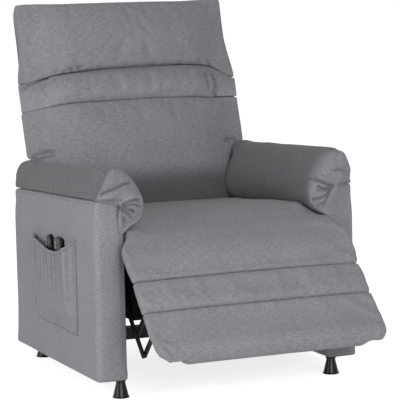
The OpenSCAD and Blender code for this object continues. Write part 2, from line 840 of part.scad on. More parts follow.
module lumbar_cushion() {
    edge = back_half_width;
    top = neck_seam_low - soft_gap;
    color(cloth) placed() leaned() {
        intersection() {
            hull() {
                for (s = [LEFT, RIGHT]) {
                    translate([s * (edge - 32), -18, top - 12]) sphere(r = 32, $fn = 32);
                    translate([s * (edge - 32), -18, wing_start]) sphere(r = 32, $fn = 32);
                    translate([s * (low_half - 25), -22, 5]) sphere(r = 25, $fn = 32);
                }
                translate([0, -cushion_crown + 60, 225]) scale([230, 60, 158])
                    sphere(r = 1, $fn = 32);
            }
            translate([0, cushion_rear, 0]) rotate([90, 0, 0]) linear_extrude(cushion_crown * 2)
                polygon(lumbar_outline(-30, wing_start, top, edge));
        }
        for (s = [LEFT, RIGHT]) side(s) cheek(wing_start, top, edge);
    }
}

module neck_roll() {
    edge = back_half_width + 3;
    z0 = neck_seam_low + soft_gap;
    z1 = neck_seam_high - soft_gap;
    color(cloth) placed() leaned() {
        keep_in_front(z0, z1) hull() {
            for (s = [LEFT, RIGHT], z = [z0 + 26, z1 - 26])
                translate([s * (edge - 34), -16, z]) sphere(r = 34, $fn = 32);
            translate([0, -neck_crown + 52, (z0 + z1) / 2]) scale([270, 52, 54])
                sphere(r = 1, $fn = 32);
        }
        for (s = [LEFT, RIGHT]) side(s) cheek(z0, z1, edge);
    }
}

module head_cushion() {
    edge = back_half_width;
    z0 = neck_seam_high + soft_gap;
    color(cloth) placed() leaned() {
        keep_in_front(z0, back_length) hull() {
            for (s = [LEFT, RIGHT]) {
                translate([s * (edge - 34), -20, z0 + 20]) sphere(r = 34, $fn = 32);
                translate([s * (edge - 40), -18, back_length - 40]) sphere(r = 40, $fn = 32);
            }
            translate([0, -cushion_crown + 58, z0 + 105]) scale([250, 58, 110])
                sphere(r = 1, $fn = 32);
        }
        for (s = [LEFT, RIGHT]) side(s) cheek(z0, back_length - 26, edge);
        translate([-(edge - 34), cushion_rear - weld, post_top + soft_gap])
            cube([2 * (edge - 34), frame_rear - cushion_rear + weld - soft_gap,
                back_length - post_top - soft_gap - 2]);
    }
}

module back_rear_panel() {
    low = -55;
    corner = 30;
    rear_half = back_half_width - side_taper;
    color(cloth) placed() leaned() translate([0, frame_rear + rear_panel, 0])
        rotate([90, 0, 0]) linear_extrude(rear_panel) {
            translate([-rear_half, wing_start])
                round_rect(2 * rear_half, back_length - wing_start, corner);
            translate([-low_half, low]) round_rect(2 * low_half, wing_start + corner * 2 - low, 12);
        }
}

// Hand controls: each stands upright in the pocket, against the arm.
front_handset_y = pocket_front + pocket_length * 0.34;
rear_handset_y = pocket_front + pocket_length * 0.57;
front_handset_top = pocket_mouth_low + 44;
rear_handset_top = pocket_mouth_low + 43;
handset_x = arm_outer + 0.3;
button_inset = 3;
button_play = 0.2;
button_drop = 17;
button_shift = 8;
RAISE = 0;
LOWER = 1;

// Height of a button's middle: the raising button is over the lowering one.
function button_z(top, k) = top - button_drop - k * (button_height + 3);

module handset_case(y, top) {
    r = 8;
    depth = button_travel + button_inset + 0.3;
    color(plastic) placed() side(LEFT) difference() {
        translate([handset_x, y - handset_width / 2, top - handset_length])
            rotate([90, 0, 90]) linear_extrude(handset_thickness)
                round_rect(handset_width, handset_length, r);
        for (k = [RAISE, LOWER]) translate([handset_x + handset_thickness - depth,
                y + button_shift - button_width / 2 - button_play,
                button_z(top, k) - button_height / 2 - button_play])
            cube([depth + weld, button_width + 2 * button_play, button_height + 2 * button_play]);
    }
}

module handset_button(y, top, k) {
    color(cloth) placed() side(LEFT)
        translate([handset_x + handset_thickness - button_inset,
            y + button_shift - button_width / 2, button_z(top, k) - button_height / 2])
            cube([button_inset + button_proud, button_width, button_height]);
}

arm_frame(LEFT);  // left_arm_frame
arm_frame(RIGHT);  // right_arm_frame
arm_cover(LEFT);  // left_arm_cover
arm_cover(RIGHT);  // right_arm_cover
arm_pad(LEFT);  // left_arm_pad
arm_pad(RIGHT);  // right_arm_pad
side_pocket();
foot_pair(foot_rows[0]);  // front_feet
foot_pair(foot_rows[1]);  // rear_feet
base_rail(LEFT);  // left_base_rail
base_rail(RIGHT);  // right_base_rail
cross_rail(front_cross_y);  // front_cross_rail
cross_rail(rear_cross_y);  // rear_cross_rail
rail_bolts();
power_inlet();
seat_link(LEFT, front_pivot, pin_clearance);  // front_left_seat_link
seat_link(RIGHT, front_pivot, loop_clearance);  // front_right_seat_link
seat_link(LEFT, rear_pivot, loop_clearance);  // rear_left_seat_link
seat_link(RIGHT, rear_pivot, loop_clearance);  // rear_right_seat_link
seat_plate(LEFT);  // left_seat_plate
seat_plate(RIGHT);  // right_seat_plate
seat_front_rail();
seat_rear_rail();
seat_springs();
seat_cushion();
seat_lining();
actuator_motor();
actuator_rod();
drive_link(LEFT);  // left_drive_link
drive_link(RIGHT);  // right_drive_link
torque_tube();
footrest_bracket(LEFT);  // left_footrest_bracket
footrest_bracket(RIGHT);  // right_footrest_bracket
footrest_board();
chaise_upper_pad();
chaise_band_pad();
chaise_lower_pad();
cross_link(LEFT, footrest_joint, lower_joint);  // left_front_link
cross_link(RIGHT, footrest_joint, lower_joint);  // right_front_link
cross_link(LEFT, middle_joint, middle_cross);  // left_middle_link
cross_link(RIGHT, middle_joint, middle_cross);  // right_middle_link
back_bracket(LEFT);  // left_back_bracket
back_bracket(RIGHT);  // right_back_bracket
back_post(LEFT);  // left_back_post
back_post(RIGHT);  // right_back_post
back_rail(post_top - board);  // back_top_rail
back_rail(35);  // back_bottom_rail
back_springs();
lumbar_cushion();
neck_roll();
head_cushion();
back_rear_panel();
handset_case(front_handset_y, front_handset_top);  // front_handset_case
handset_button(front_handset_y, front_handset_top, RAISE);  // front_handset_raise_button
handset_button(front_handset_y, front_handset_top, LOWER);  // front_handset_lower_button
handset_case(rear_handset_y, rear_handset_top);  // rear_handset_case
handset_button(rear_handset_y, rear_handset_top, RAISE);  // rear_handset_raise_button
handset_button(rear_handset_y, rear_handset_top, LOWER);  // rear_handset_lower_button
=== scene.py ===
"""Dresses the recliner armchair's CAD frame with sewn covers, hand controls, feet and finishes.

Shapes are laid out in millimetres with y = 0 at the front of the arms and z = 0 on the floor, as
in the part's source, and row() moves them into the shared frame in metres.
"""

import json
import math

import bmesh
import bpy
import numpy as np
from mathutils import Matrix, Vector
from mathutils.bvhtree import BVHTree


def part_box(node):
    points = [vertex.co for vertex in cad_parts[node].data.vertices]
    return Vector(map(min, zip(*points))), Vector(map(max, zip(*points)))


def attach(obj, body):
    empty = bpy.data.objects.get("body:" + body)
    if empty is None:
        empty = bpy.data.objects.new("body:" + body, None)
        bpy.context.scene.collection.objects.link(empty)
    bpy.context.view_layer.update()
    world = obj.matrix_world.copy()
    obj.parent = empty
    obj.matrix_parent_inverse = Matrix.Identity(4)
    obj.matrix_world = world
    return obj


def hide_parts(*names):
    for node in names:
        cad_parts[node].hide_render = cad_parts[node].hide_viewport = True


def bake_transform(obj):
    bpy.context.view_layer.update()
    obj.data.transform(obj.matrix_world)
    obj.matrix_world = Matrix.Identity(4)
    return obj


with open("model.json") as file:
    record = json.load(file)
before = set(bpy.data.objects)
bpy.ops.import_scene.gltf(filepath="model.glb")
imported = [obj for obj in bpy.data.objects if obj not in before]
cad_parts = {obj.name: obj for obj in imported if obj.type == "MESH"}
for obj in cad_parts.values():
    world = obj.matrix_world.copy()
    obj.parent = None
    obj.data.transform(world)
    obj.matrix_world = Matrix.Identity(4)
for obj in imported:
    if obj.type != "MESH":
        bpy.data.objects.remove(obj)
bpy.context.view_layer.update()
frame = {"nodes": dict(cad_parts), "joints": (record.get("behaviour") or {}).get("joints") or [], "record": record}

MM = 0.001
LEFT, RIGHT = SIDES = (-1, 1)
SIDE_NAME = {LEFT: "left", RIGHT: "right"}
ARM_LOW, ARM_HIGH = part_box("right_arm_cover")
Y0 = ARM_LOW.y
ARM_IN, ARM_OUT = ARM_LOW.x / MM, ARM_HIGH.x / MM
ARM_DEPTH = (ARM_HIGH.y - ARM_LOW.y) / MM
ARM_TOP = ARM_HIGH.z / MM
ARM_BOTTOM = ARM_LOW.z / MM
ARM_FALL = math.tan(math.radians(2.6))
BACK_TILT = math.radians(16)
SLOPE = math.radians(45)
SEAM_ONE, SEAM_TWO, REACH = 157.0, 262.0, 420.0


def pivot(joint):
    """A joint's y and z in the part's mm."""
    place = next(j["pos_m"] for j in frame["joints"] if j["name"] == joint)
    return [(place[1] - Y0) / MM, place[2] / MM]


KNEE = pivot("footrest_swing")
HINGE = pivot("back_recline")


# Numbers

def smooth(value, low, high):
    """0 below low, 1 above high, with an even turn in between."""
    t = np.clip((value - low) / (high - low), 0.0, 1.0)
    return t * t * (3 - 2 * t)


def read(table, place):
    """A table's value at a place, drawn straight between its (place, value) pairs."""
    places, values = zip(*sorted(table))
    return np.interp(place, places, values)


def lattice_noise(cells, seed):
    """A repeatable value from -1 to 1 for each whole-numbered point."""
    n = (cells[..., 0] * 73856093) ^ (cells[..., 1] * 19349663) ^ (cells[..., 2] * 83492791)
    n = (n ^ (seed * 2654435761)) & 0x7FFFFFFF
    n = (n * 1103515245 + 12345) & 0x7FFFFFFF
    n = (n ^ (n >> 13)) * 60493 & 0x7FFFFFFF
    return (n % 20011) / 10005.5 - 1


def ripple(points, size, seed):
    """Smooth noise with lumps of about size mm, from -1 to 1."""
    p = points / size
    cell = np.floor(p).astype(np.int64)
    f = p - cell
    f = f * f * (3 - 2 * f)
    total = np.zeros(len(points))
    for corner in np.ndindex(2, 2, 2):
        weight = np.prod(np.where(corner, f, 1 - f), axis=1)
        total += weight * lattice_noise(cell + np.array(corner), seed)
    return total


def run_along(path):
    """The distance from a path's start to each of its points."""
    return np.concatenate([[0], np.cumsum(np.linalg.norm(np.diff(path, axis=0), axis=1))])


def curve_through(points, count):
    """count points, evenly spread along a smooth curve through the given ones."""
    pts = np.array(points, float)
    last = len(pts) - 1
    dense = []
    for i in range(last):
        a, b, c, d = (pts[min(max(i + k, 0), last)] for k in (-1, 0, 1, 2))
        for t in np.linspace(0, 1, 16, endpoint=False):
            dense.append(0.5 * (2 * b + (c - a) * t + (2 * a - 5 * b + 4 * c - d) * t ** 2
                                + (3 * b - a - 3 * c + d) * t ** 3))
    dense = np.array([*dense, pts[-1]])
    run = run_along(dense)
    stops = np.linspace(0, run[-1], count)
    return np.stack([np.interp(stops, run, dense[:, k]) for k in range(pts.shape[1])], 1)


def soft_line(x, places):
    """The height at x of a line through (x, height) places, with its corners rounded off."""
    steps = np.linspace(-34, 34, 9)
    return sum(read(places, x + d) for d in steps) / len(steps)


def along(points, path):
    """Distance of each point from a path, and the share of the path's length at the nearest place."""
    path = np.array(path, float)
    lengths = np.linalg.norm(np.diff(path, axis=0), axis=1)
    best = np.full(len(points), 1e9)
    share = np.zeros(len(points))
    run = 0.0
    for a, b, length in zip(path[:-1], path[1:], lengths):
        t = np.clip((points - a) @ (b - a) / max(length ** 2, 1e-9), 0, 1)
        d = np.linalg.norm(points - (a + t[:, None] * (b - a)), axis=1)
        near = d < best
        best[near] = d[near]
        share[near] = (run + t[near] * length) / lengths.sum()
        run += length
    return best, share


def crease(points, path, depth, width, taper):
    """An offset of depth on a path, which fades over width and towards the path's ends."""
    d, share = along(points, path)
    return depth * np.exp(-(d / width) ** 2) * smooth(np.minimum(share, 1 - share), 0.0, taper)


def creases(points, folds):
    """The sum of several folds, each a path with its depth, width and taper."""
    return sum(crease(points, *fold) for fold in folds)


def seam_folds(places, start, end, lean, depth):
    """Short folds that run out from a seam and lean to one side and the other in turn."""
    return [([(x, start), (x + lean * (-1) ** k, end)], depth, 8, 0.3) for k, x in enumerate(places)]


# Frames of reference: each takes and gives points in mm

def from_back(p):
    """Points drawn upright with the recline hinge at the origin, leaned to the back's angle."""
    c, s = math.cos(BACK_TILT), math.sin(BACK_TILT)
    return np.stack([p[:, 0], HINGE[0] + p[:, 1] * c + p[:, 2] * s,
                     HINGE[1] - p[:, 1] * s + p[:, 2] * c], 1)


def to_back(p):
    c, s = math.cos(BACK_TILT), math.sin(BACK_TILT)
    y, z = p[:, 1] - HINGE[0], p[:, 2] - HINGE[1]
    return np.stack([p[:, 0], y * c - z * s, y * s + z * c], 1)


def from_footrest(p):
    """Points drawn with y down the footrest from the knee and z standing out of it."""
    c, s = math.cos(SLOPE), math.sin(SLOPE)
    return np.stack([p[:, 0], KNEE[0] - p[:, 1] * c - p[:, 2] * s,
                     KNEE[1] - p[:, 1] * s + p[:, 2] * c], 1)


def to_footrest(p):
    c, s = math.cos(SLOPE), math.sin(SLOPE)
    y, z = p[:, 1] - KNEE[0], p[:, 2] - KNEE[1]
    return np.stack([p[:, 0], -y * c - z * s, -y * s + z * c], 1)


def from_side(p, s):
    """Points of the chair's side s, mirrored to the right side where s is the left."""
    return p * np.array([s, 1, 1])


def row(p):
    """The shared frame, in metres."""
    return np.asarray(p, float) * MM + np.array([0, Y0, 0])


def unrow(p):
    return (np.asarray(p, float) - np.array([0, Y0, 0])) / MM


def node_box(node):
    """The low and high corners of a CAD piece."""
    return [unrow([corner])[0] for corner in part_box(node)]


# Meshes

def rounded(flat, half, r):
    """Points of a block's flat sides, drawn in so that its edges have radius r."""
    inner = np.clip(flat, -(half - r), half - r)
    out = flat - inner
    length = np.maximum(np.linalg.norm(out, axis=1, keepdims=True), 1e-9)
    return inner + out * (r / length)


def block(half, pitch):
    """A closed block of even quads: its points in mm, its quads, and the axis each quad faces."""
    n = np.maximum(2, np.round(2 * half / pitch).astype(int))
    index, quads, axes = {}, [], []
    for axis in range(3):
        a, b = (axis + 1) % 3, (axis + 2) % 3
        for end in (0, n[axis]):
            for i, j in np.ndindex(n[a], n[b]):
                corners = [(i, j), (i + 1, j), (i + 1, j + 1), (i, j + 1)]
                quad = []
                for p, q in corners if end else reversed(corners):
                    key = [0, 0, 0]
                    key[axis], key[a], key[b] = int(end), p, q
                    quad.append(index.setdefault(tuple(key), len(index)))
                quads.append(quad)
                axes.append(axis)
    return -half + 2 * half * np.array(list(index), float) / n, quads, axes


def make(name, points, quads, layout=None):
    """A mesh object from points in the part's mm. layout gives each corner's place on flat cloth."""
    mesh = bpy.data.meshes.new(name)
    mesh.from_pydata([tuple(p) for p in row(points)], [], [list(map(int, q)) for q in quads])
    if layout is not None:
        uv = mesh.uv_layers.new(name="cloth")
        uv.data.foreach_set("uv", (np.array(layout, float) * MM).ravel())
    mesh.polygons.foreach_set("use_smooth", [True] * len(mesh.polygons))
    mesh.update()
    obj = bpy.data.objects.new(name, mesh)
    bpy.context.scene.collection.objects.link(obj)
    return obj


def block_piece(name, half, r, pitch, shape, tight=None):
    """A cushion: a round-edged block whose points shape() takes to their place in the part's mm.

    tight is a smaller edge radius with a function that gives how far it takes over at each point.
    """
    half = np.array(half, float)
    flat, quads, axes = block(half, pitch)
    points = rounded(flat, half, r)
    if tight:
        share = tight[1](flat)[:, None]
        points = points * (1 - share) + rounded(flat, half, tight[0]) * share
    layout = [np.delete(corners, axis, 1) for corners, axis in zip(flat[np.array(quads)], axes)]
    return make(name, shape(points), quads, layout)


def grid_quads(rows, columns, wrap=False):
    """Quads of a grid of points, stored row after row."""
    span = columns if wrap else columns - 1
    return [[i * columns + j, i * columns + (j + 1) % columns,
             (i + 1) * columns + (j + 1) % columns, (i + 1) * columns + j]
            for i in range(rows - 1) for j in range(span)]


def slab_quads(rows, columns):
    """Quads of a thin closed sheet: one grid of points, then the same grid for its other face."""
    n = rows * columns
    quads = grid_quads(rows, columns)
    quads += [[n + a, n + d, n + c, n + b] for a, b, c, d in quads]
    top = (rows - 1) * columns
    for j in range(columns - 1):
        quads.append([top + j, top + j + 1, n + top + j + 1, n + top + j])
        quads.append([j + 1, j, n + j, n + j + 1])
    for i in range(rows - 1):
        a, b = i * columns, (i + 1) * columns
        quads.append([a, b, n + b, n + a])
        a, b = a + columns - 1, b + columns - 1
        quads.append([b, a, n + a, n + b])
    return quads


def sheet_piece(name, layers, columns, woven=True):
    """A thin cloth of two faces, from its rows of points: one face's rows, then the other's."""
    grid = np.concatenate(layers)
    quads = slab_quads(len(layers) // 2, columns)
    obj = make(name, grid, quads, [grid[v][1:] for q in quads for v in q] if woven else None)
    outward(obj)
    return obj


def edit_mesh(obj, change):
    """Runs change() on the mesh as a bmesh."""
    bm = bmesh.new()
    bm.from_mesh(obj.data)
    change(bm)
    bm.to_mesh(obj.data)
    bm.free()


def outward(obj):
    """Turns every face outwards."""
    edit_mesh(obj, lambda bm: bmesh.ops.recalc_face_normals(bm, faces=bm.faces))


def mark_sharp(obj, degrees):
    """Keeps edges sharper than the angle crisp while the rest stays smooth."""
    def change(bm):
        for edge in bm.edges:
            edge.smooth = len(edge.link_faces) == 2 and edge.calc_face_angle(0) < math.radians(degrees)

    edit_mesh(obj, change)


def points_of(obj, key="co"):
    """Each vertex's place in metres, or its normal."""
    values = np.empty(len(obj.data.vertices) * 3)
    obj.data.vertices.foreach_get(key, values)
    return values.reshape(-1, 3)


def set_points(obj, co):
    obj.data.vertices.foreach_set("co", co.ravel())
    obj.data.update()


def refine(obj):
    """Subdivides the mesh itself, so that folds can be sculpted at the finer spacing."""
    modifier = obj.modifiers.new("Subdivision", "SUBSURF")
    modifier.levels = modifier.render_levels = 1
    graph = bpy.context.evaluated_depsgraph_get()
    mesh = bpy.data.meshes.new_from_object(obj.evaluated_get(graph), preserve_all_data_layers=True,
                                           depsgraph=graph)
    obj.modifiers.remove(modifier)
    old = obj.data
    obj.data = mesh
    bpy.data.meshes.remove(old)
    mesh.name = obj.name


def sculpt(obj, offset):
    """Moves each point along its normal by offset(points), in mm."""
    co = points_of(obj)
    amount = offset(unrow(co)) * MM
    set_points(obj, co + points_of(obj, "normal") * amount[:, None])


def tone_and_painted_shade(obj, shade):
    """Stores the cloth's tone with painted light and shade, where 1 is its own colour: one number, or
    shade(points).
    """
    points = unrow(points_of(obj))
    values = shade(points) if callable(shade) else np.full(len(points), shade)
    attribute = obj.data.attributes.new("tone_and_painted_shade", "FLOAT", "POINT")
    attribute.data.foreach_set("value", np.clip(values, 0.3, 1.6).astype(np.float32))


# Cloth

CLOTH_JOBS = []
CLOTH_FRAMES = 20
CLOTH_SETTINGS = {"quality": 6, "mass": 0.35, "tension_stiffness": 22, "compression_stiffness": 12,
                  "shear_stiffness": 8, "bending_stiffness": 1.2, "air_damping": 3,
                  "use_pressure": True, "vertex_group_mass": "sewn"}


def stuff(obj, hold, pressure, cap, grow):
    """Lines a cushion up for the cloth simulation. hold gives how firmly each point is sewn down.

    cap is the farthest that a point may move, in mm, and grow the share by which the cloth stretches.
    """
    group = obj.vertex_groups.new(name="sewn")
    weights = np.round(np.clip(hold(unrow(points_of(obj))), 0, 1), 1)
    for level in np.unique(weights):
        if level > 0:
            group.add(np.nonzero(weights == level)[0].tolist(), float(level), "REPLACE")
    CLOTH_JOBS.append((obj, pressure, cap, grow))


def run_cloth():
    """Swells every cushion at once, limits how far a point moves, and keeps the result as mesh."""
    scene = bpy.context.scene
    for obj, pressure, cap, grow in CLOTH_JOBS:
        cloth = obj.modifiers.new("Cloth", "CLOTH")
        for key, value in CLOTH_SETTINGS.items():
            setattr(cloth.settings, key, value)
        cloth.settings.uniform_pressure_force = pressure
        cloth.settings.shrink_min = -grow
        cloth.settings.effector_weights.gravity = 0
        cloth.point_cache.frame_start = 1
        cloth.point_cache.frame_end = CLOTH_FRAMES
    for number in range(1, CLOTH_FRAMES + 1):
        scene.frame_set(number)
    for obj, pressure, cap, grow in CLOTH_JOBS:
        rest = points_of(obj)
        move = points_of(obj.evaluated_get(bpy.context.evaluated_depsgraph_get())) - rest
        size = np.maximum(np.linalg.norm(move, axis=1, keepdims=True), 1e-9)
        set_points(obj, rest + move * (cap * MM * np.tanh(size / (cap * MM)) / size))
    for obj, *_ in CLOTH_JOBS:
        obj.modifiers.remove(obj.modifiers["Cloth"])
    scene.frame_set(1)
    for obj, *_ in CLOTH_JOBS:
        obj.vertex_groups.clear()


# Materials

def nodes_for(name):
    material = bpy.data.materials.new(name)
    material.use_nodes = True
    tree = material.node_tree
    return material, tree, tree.nodes["Principled BSDF"]


def node(tree, kind, output, values=None, links=None):
    """Adds a node with its inputs set and linked, and gives one of its outputs."""
    added = tree.nodes.new("ShaderNode" + kind)
    for key, value in (values or {}).items():
        added.inputs[key].default_value = value
    for key, source in (links or {}).items():
        tree.links.new(source, added.inputs[key])
    return added.outputs[output]


def noise(tree, vector, scale, detail, roughness=0.6):
    return node(tree, "TexNoise", "Fac", {"Scale": scale, "Detail": detail, "Roughness": roughness},
                {"Vector": vector})


def stretched(tree, source, scale):
    return node(tree, "Mapping", "Vector", {"Scale": scale}, {"Vector": source})


def combine(tree, kind, a, b):
    """A sum, product or maximum of two values, each a number or a node's output."""
    math_node = tree.nodes.new("ShaderNodeMath")
    math_node.operation = kind
    for socket, value in zip(math_node.inputs, (a, b)):
        if isinstance(value, (int, float)):
            socket.default_value = value
        else:
            tree.links.new(value, socket)
    return math_node.outputs["Value"]


def ramp(tree, value, low, high, out_low, out_high):
    return node(tree, "MapRange", "Result", {"From Min": low, "From Max": high, "To Min": out_low,
                                             "To Max": out_high}, {"Value": value})


def tint(tree, shader, colour, factor):
    """Links a colour, made lighter or darker by a factor, to the shader."""
    mix = tree.nodes.new("ShaderNodeMix")
    mix.data_type = "RGBA"
    mix.blend_type = "MULTIPLY"
    mix.inputs["Factor"].default_value = 1.0
    mix.inputs["A"].default_value = (*colour, 1)
    tree.links.new(factor, mix.inputs["B"])
    tree.links.new(mix.outputs["Result"], shader.inputs["Base Color"])


def bump(tree, shader, height, strength, distance):
    normal = node(tree, "Bump", "Normal", {"Strength": strength, "Distance": distance}, {"Height": height})
    tree.links.new(normal, shader.inputs["Normal"])


THREAD_PITCH = 0.0013


def threads(tree, flat, direction):
    """Bands across the flat cloth, one to each thread of the weave."""
    wave = tree.nodes.new("ShaderNodeTexWave")
    wave.bands_direction = direction
    for key, value in (("Scale", 2 * math.pi / THREAD_PITCH / 20), ("Distortion", 0.6), ("Detail", 1)):
        wave.inputs[key].default_value = value
    tree.links.new(flat, wave.inputs["Vector"])
    return wave.outputs["Fac"]


def woven_fabric(name, colour):
    """Heathered plain weave: crossed threads of uneven shade, with soft larger variation, times the painted light
    and shade stored on the piece.
    """
    material, tree, shader = nodes_for(name)
    uv = tree.nodes.new("ShaderNodeUVMap")
    uv.uv_map = "cloth"
    flat = uv.outputs["UV"]
    weave = combine(tree, "MAXIMUM", threads(tree, flat, "X"), threads(tree, flat, "Y"))
    flecks = noise(tree, flat, 1500.0, 2.0, 0.7)
    mottle = noise(tree, flat, 170.0, 3.0, 0.7)
    shade = ramp(tree, noise(tree, stretched(tree, flat, (430, 75, 1)), 1.0, 2.0), 0.3, 0.7, -0.13, 0.13)
    for value, spread in ((noise(tree, stretched(tree, flat, (60, 330, 1)), 1.0, 2.0), 0.18),
                          (flecks, 0.16), (mottle, 0.09), (noise(tree, flat, 9.0, 2.0, 0.5), 0.04)):
        shade = combine(tree, "ADD", shade, ramp(tree, value, 0.3, 0.7, -spread, spread))
    shade = combine(tree, "ADD", shade, ramp(tree, weave, 0.0, 1.0, 0.86, 1.05))
    # The stored tone carries painted light and shade, which lightens or darkens the colour here.
    lightness = tree.nodes.new("ShaderNodeAttribute")
    lightness.attribute_name = "tone_and_painted_shade"
    tint(tree, shader, colour, combine(tree, "MULTIPLY", shade, lightness.outputs["Fac"]))
    tree.links.new(ramp(tree, flecks, 0.3, 0.7, 0.86, 0.97), shader.inputs["Roughness"])
    shader.inputs["Specular IOR Level"].default_value = 0.25
    shader.inputs["Sheen Weight"].default_value = 0.12
    shader.inputs["Sheen Roughness"].default_value = 0.55
    height = combine(tree, "ADD", combine(tree, "MULTIPLY", weave, 0.5),
                     combine(tree, "MULTIPLY", mottle, 0.8))
    bump(tree, shader, height, 0.35, 0.0009)
    return material


def solid_finish(name, colour, roughness, grain, bump_depth=0.00008, spread=0.12, stretch=(1, 1, 1),
                 specular=0.5, metallic=0.0):
    """A moulded, painted, turned or sawn finish with grain, slight shade changes and bump."""
    material, tree, shader = nodes_for(name)
    place = stretched(tree, tree.nodes.new("ShaderNodeTexCoord").outputs["Object"], stretch)
    fine = noise(tree, place, grain, 4.0)
    broad = noise(tree, place, grain / 40, 3.0)
    tint(tree, shader, colour, combine(tree, "ADD", ramp(tree, fine, 0.25, 0.75, 1 - spread, 1 + spread),
                                       ramp(tree, broad, 0.25, 0.75, -spread, spread)))
    tree.links.new(ramp(tree, broad, 0.2, 0.8, roughness * 0.85, min(roughness * 1.2, 1)),
                   shader.inputs["Roughness"])
    shader.inputs["Metallic"].default_value = metallic
    shader.inputs["Specular IOR Level"].default_value = specular
    bump(tree, shader, fine, 0.5, bump_depth)
    return material


BLACK = (0.006, 0.006, 0.0065)
DEEP_BLACK = (0.003, 0.003, 0.0032)
WOOD = {"grain": 90, "stretch": (6, 1, 1), "bump_depth": 0.0004}
THREAD = solid_finish("grey_thread", (0.13, 0.135, 0.145), 0.8, 2500, specular=0.3)
STAINED_TIMBER = solid_finish("black_stained_timber", (0.014, 0.012, 0.011), 0.8, spread=0.3,
                              specular=0.15, **WOOD)
SLOT_FINISH = {
    "woven_fabric": woven_fabric("woven_grey_fabric", (0.205, 0.212, 0.224)),
    "black_lining": solid_finish("black_nonwoven_cloth", BLACK, 0.95, 900, 0.0003, 0.3, specular=0.1),
    "gloss_black_plastic": solid_finish("gloss_black_plastic", DEEP_BLACK, 0.24, 60, 0.00002,
                                        specular=0.22),
    "black_plastic": solid_finish("black_plastic", DEEP_BLACK, 0.34, 1600, specular=0.18),
    "grey_plastic": solid_finish("grey_plastic", (0.10, 0.105, 0.11), 0.42, 1500, spread=0.05),
    "bright_steel": solid_finish("bright_steel", (0.45, 0.46, 0.47), 0.32, 700, metallic=1.0),
    "black_steel": solid_finish("black_powder_coat", BLACK, 0.5, 1300, 0.00012, specular=0.22),
    "timber": solid_finish("sawn_timber", (0.50, 0.36, 0.21), 0.7, spread=0.22, specular=0.3, **WOOD),
}


def finish(obj, slot_name, body=None, replaced=(), material=None):
    """Gives a piece the material for its slot name, or the one given, sets it on its body, and hides what it
    stands for.
    """
    obj.data.materials.clear()
    obj.data.materials.append(material or SLOT_FINISH[slot_name])
    if body:
        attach(obj, body)
    if replaced:
        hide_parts(*replaced)
    return obj


def dress(obj, folds, shade, body, *replaced, fill):
    """Refines a sewn piece, sculpts its folds, paints light and shade onto it, and finishes it in woven cloth."""
    refine(obj)
    sculpt(obj, folds)
    tone_and_painted_shade(obj, shade)
    finish(obj, "woven_fabric", body, replaced)
    return obj


# Arms

def arm_top(y):
    """Height of the arm's top edge at y. It stays level in front of the arm."""
    return ARM_TOP - np.maximum(y, 0) * ARM_FALL


def arm_cover(s):
    """The stretched cover of one arm box: full sides, round corners and a tucked lower edge."""
    half = np.array([(ARM_OUT - ARM_IN) / 2, ARM_DEPTH / 2, (ARM_TOP - ARM_BOTTOM) / 2])

    def shape(p):
        x, y, z = p[:, 0], p[:, 1] + half[1], (p[:, 2] + half[2]) / (2 * half[2])
        side_fill = np.sin(np.pi * np.clip(y / ARM_DEPTH, 0, 1)) * np.sin(np.pi * np.clip(z, 0, 1))
        level = ARM_BOTTOM + z * (ARM_TOP - ARM_BOTTOM)
        # The outer side bellies out, less so under the roll and more so towards the floor
        spread = 3.5 + 1.0 * side_fill - 5 * smooth(level, 470, 550) + 3 * smooth(-level, -200, -70)
        x = x + np.where(x > half[0] * 0.6, spread, 0)
        y = y - np.where(y < 12, 3.0 * np.sin(np.pi * np.clip(z, 0, 1)), 0)
        top = ARM_TOP - 1 - np.clip(y, 0, ARM_DEPTH) * ARM_FALL
        height = ARM_BOTTOM - 1 + z * (top - ARM_BOTTOM + 1)
        return np.stack([s * ((ARM_IN + ARM_OUT) / 2 + x), y, height], 1)

    def corners(flat):
        return smooth(np.abs(flat[:, 2]), half[2] - 40, half[2] - 16)

    obj = block_piece(SIDE_NAME[s] + "_arm_panels", half, 14, 12, shape, tight=(4, corners))
    if s == LEFT:
        obj.data.flip_normals()

    def folds(p):
        q = from_side(p, s)
        total = 0.8 * ripple(p, 150, 3) * smooth(q[:, 0], ARM_IN + 20, ARM_OUT - 10)
        seams = [([[ARM_IN + 10, y, 70], [ARM_IN + 12, y, high]], -3.0, 4.5, 0.02)
                 for y, high in ((-3, 470), (ARM_DEPTH + 2, 520))]
        tuck = [[ARM_IN + 13, -4, 540], [ARM_IN + 21, -4, 515], [ARM_IN + 14, -4, 478]]
        pulls = [([[ARM_OUT, y, arm_top(y)], [ARM_OUT, y + 9 * (-1) ** k, arm_top(y) - 46]], 1.2, 11, 0.4)
                 for k, y in enumerate((40, 110, 190, 300, 420, 540, 660))]
        return total + creases(q, [*seams, (tuck, -2.2, 5, 0.2), *pulls])

    def shade(p):
        q = from_side(p, s)
        side = smooth(q[:, 0], ARM_OUT - 18, ARM_OUT - 8)
        front = smooth(-q[:, 1], -12, 0) * (1 - side)
        # Painted light: the side panel is lighter, partly for the nap of its cut panel and partly as lit from the
        # side, more so near the floor; the left front is painted lighter and the right front darker.
        return 1.0 + 0.10 * side + 0.03 * side * smooth(-p[:, 2], -300, -80) - s * 0.07 * front

    return dress(obj, folds, shade, "base", SIDE_NAME[s] + "_arm_cover", fill=0.9)


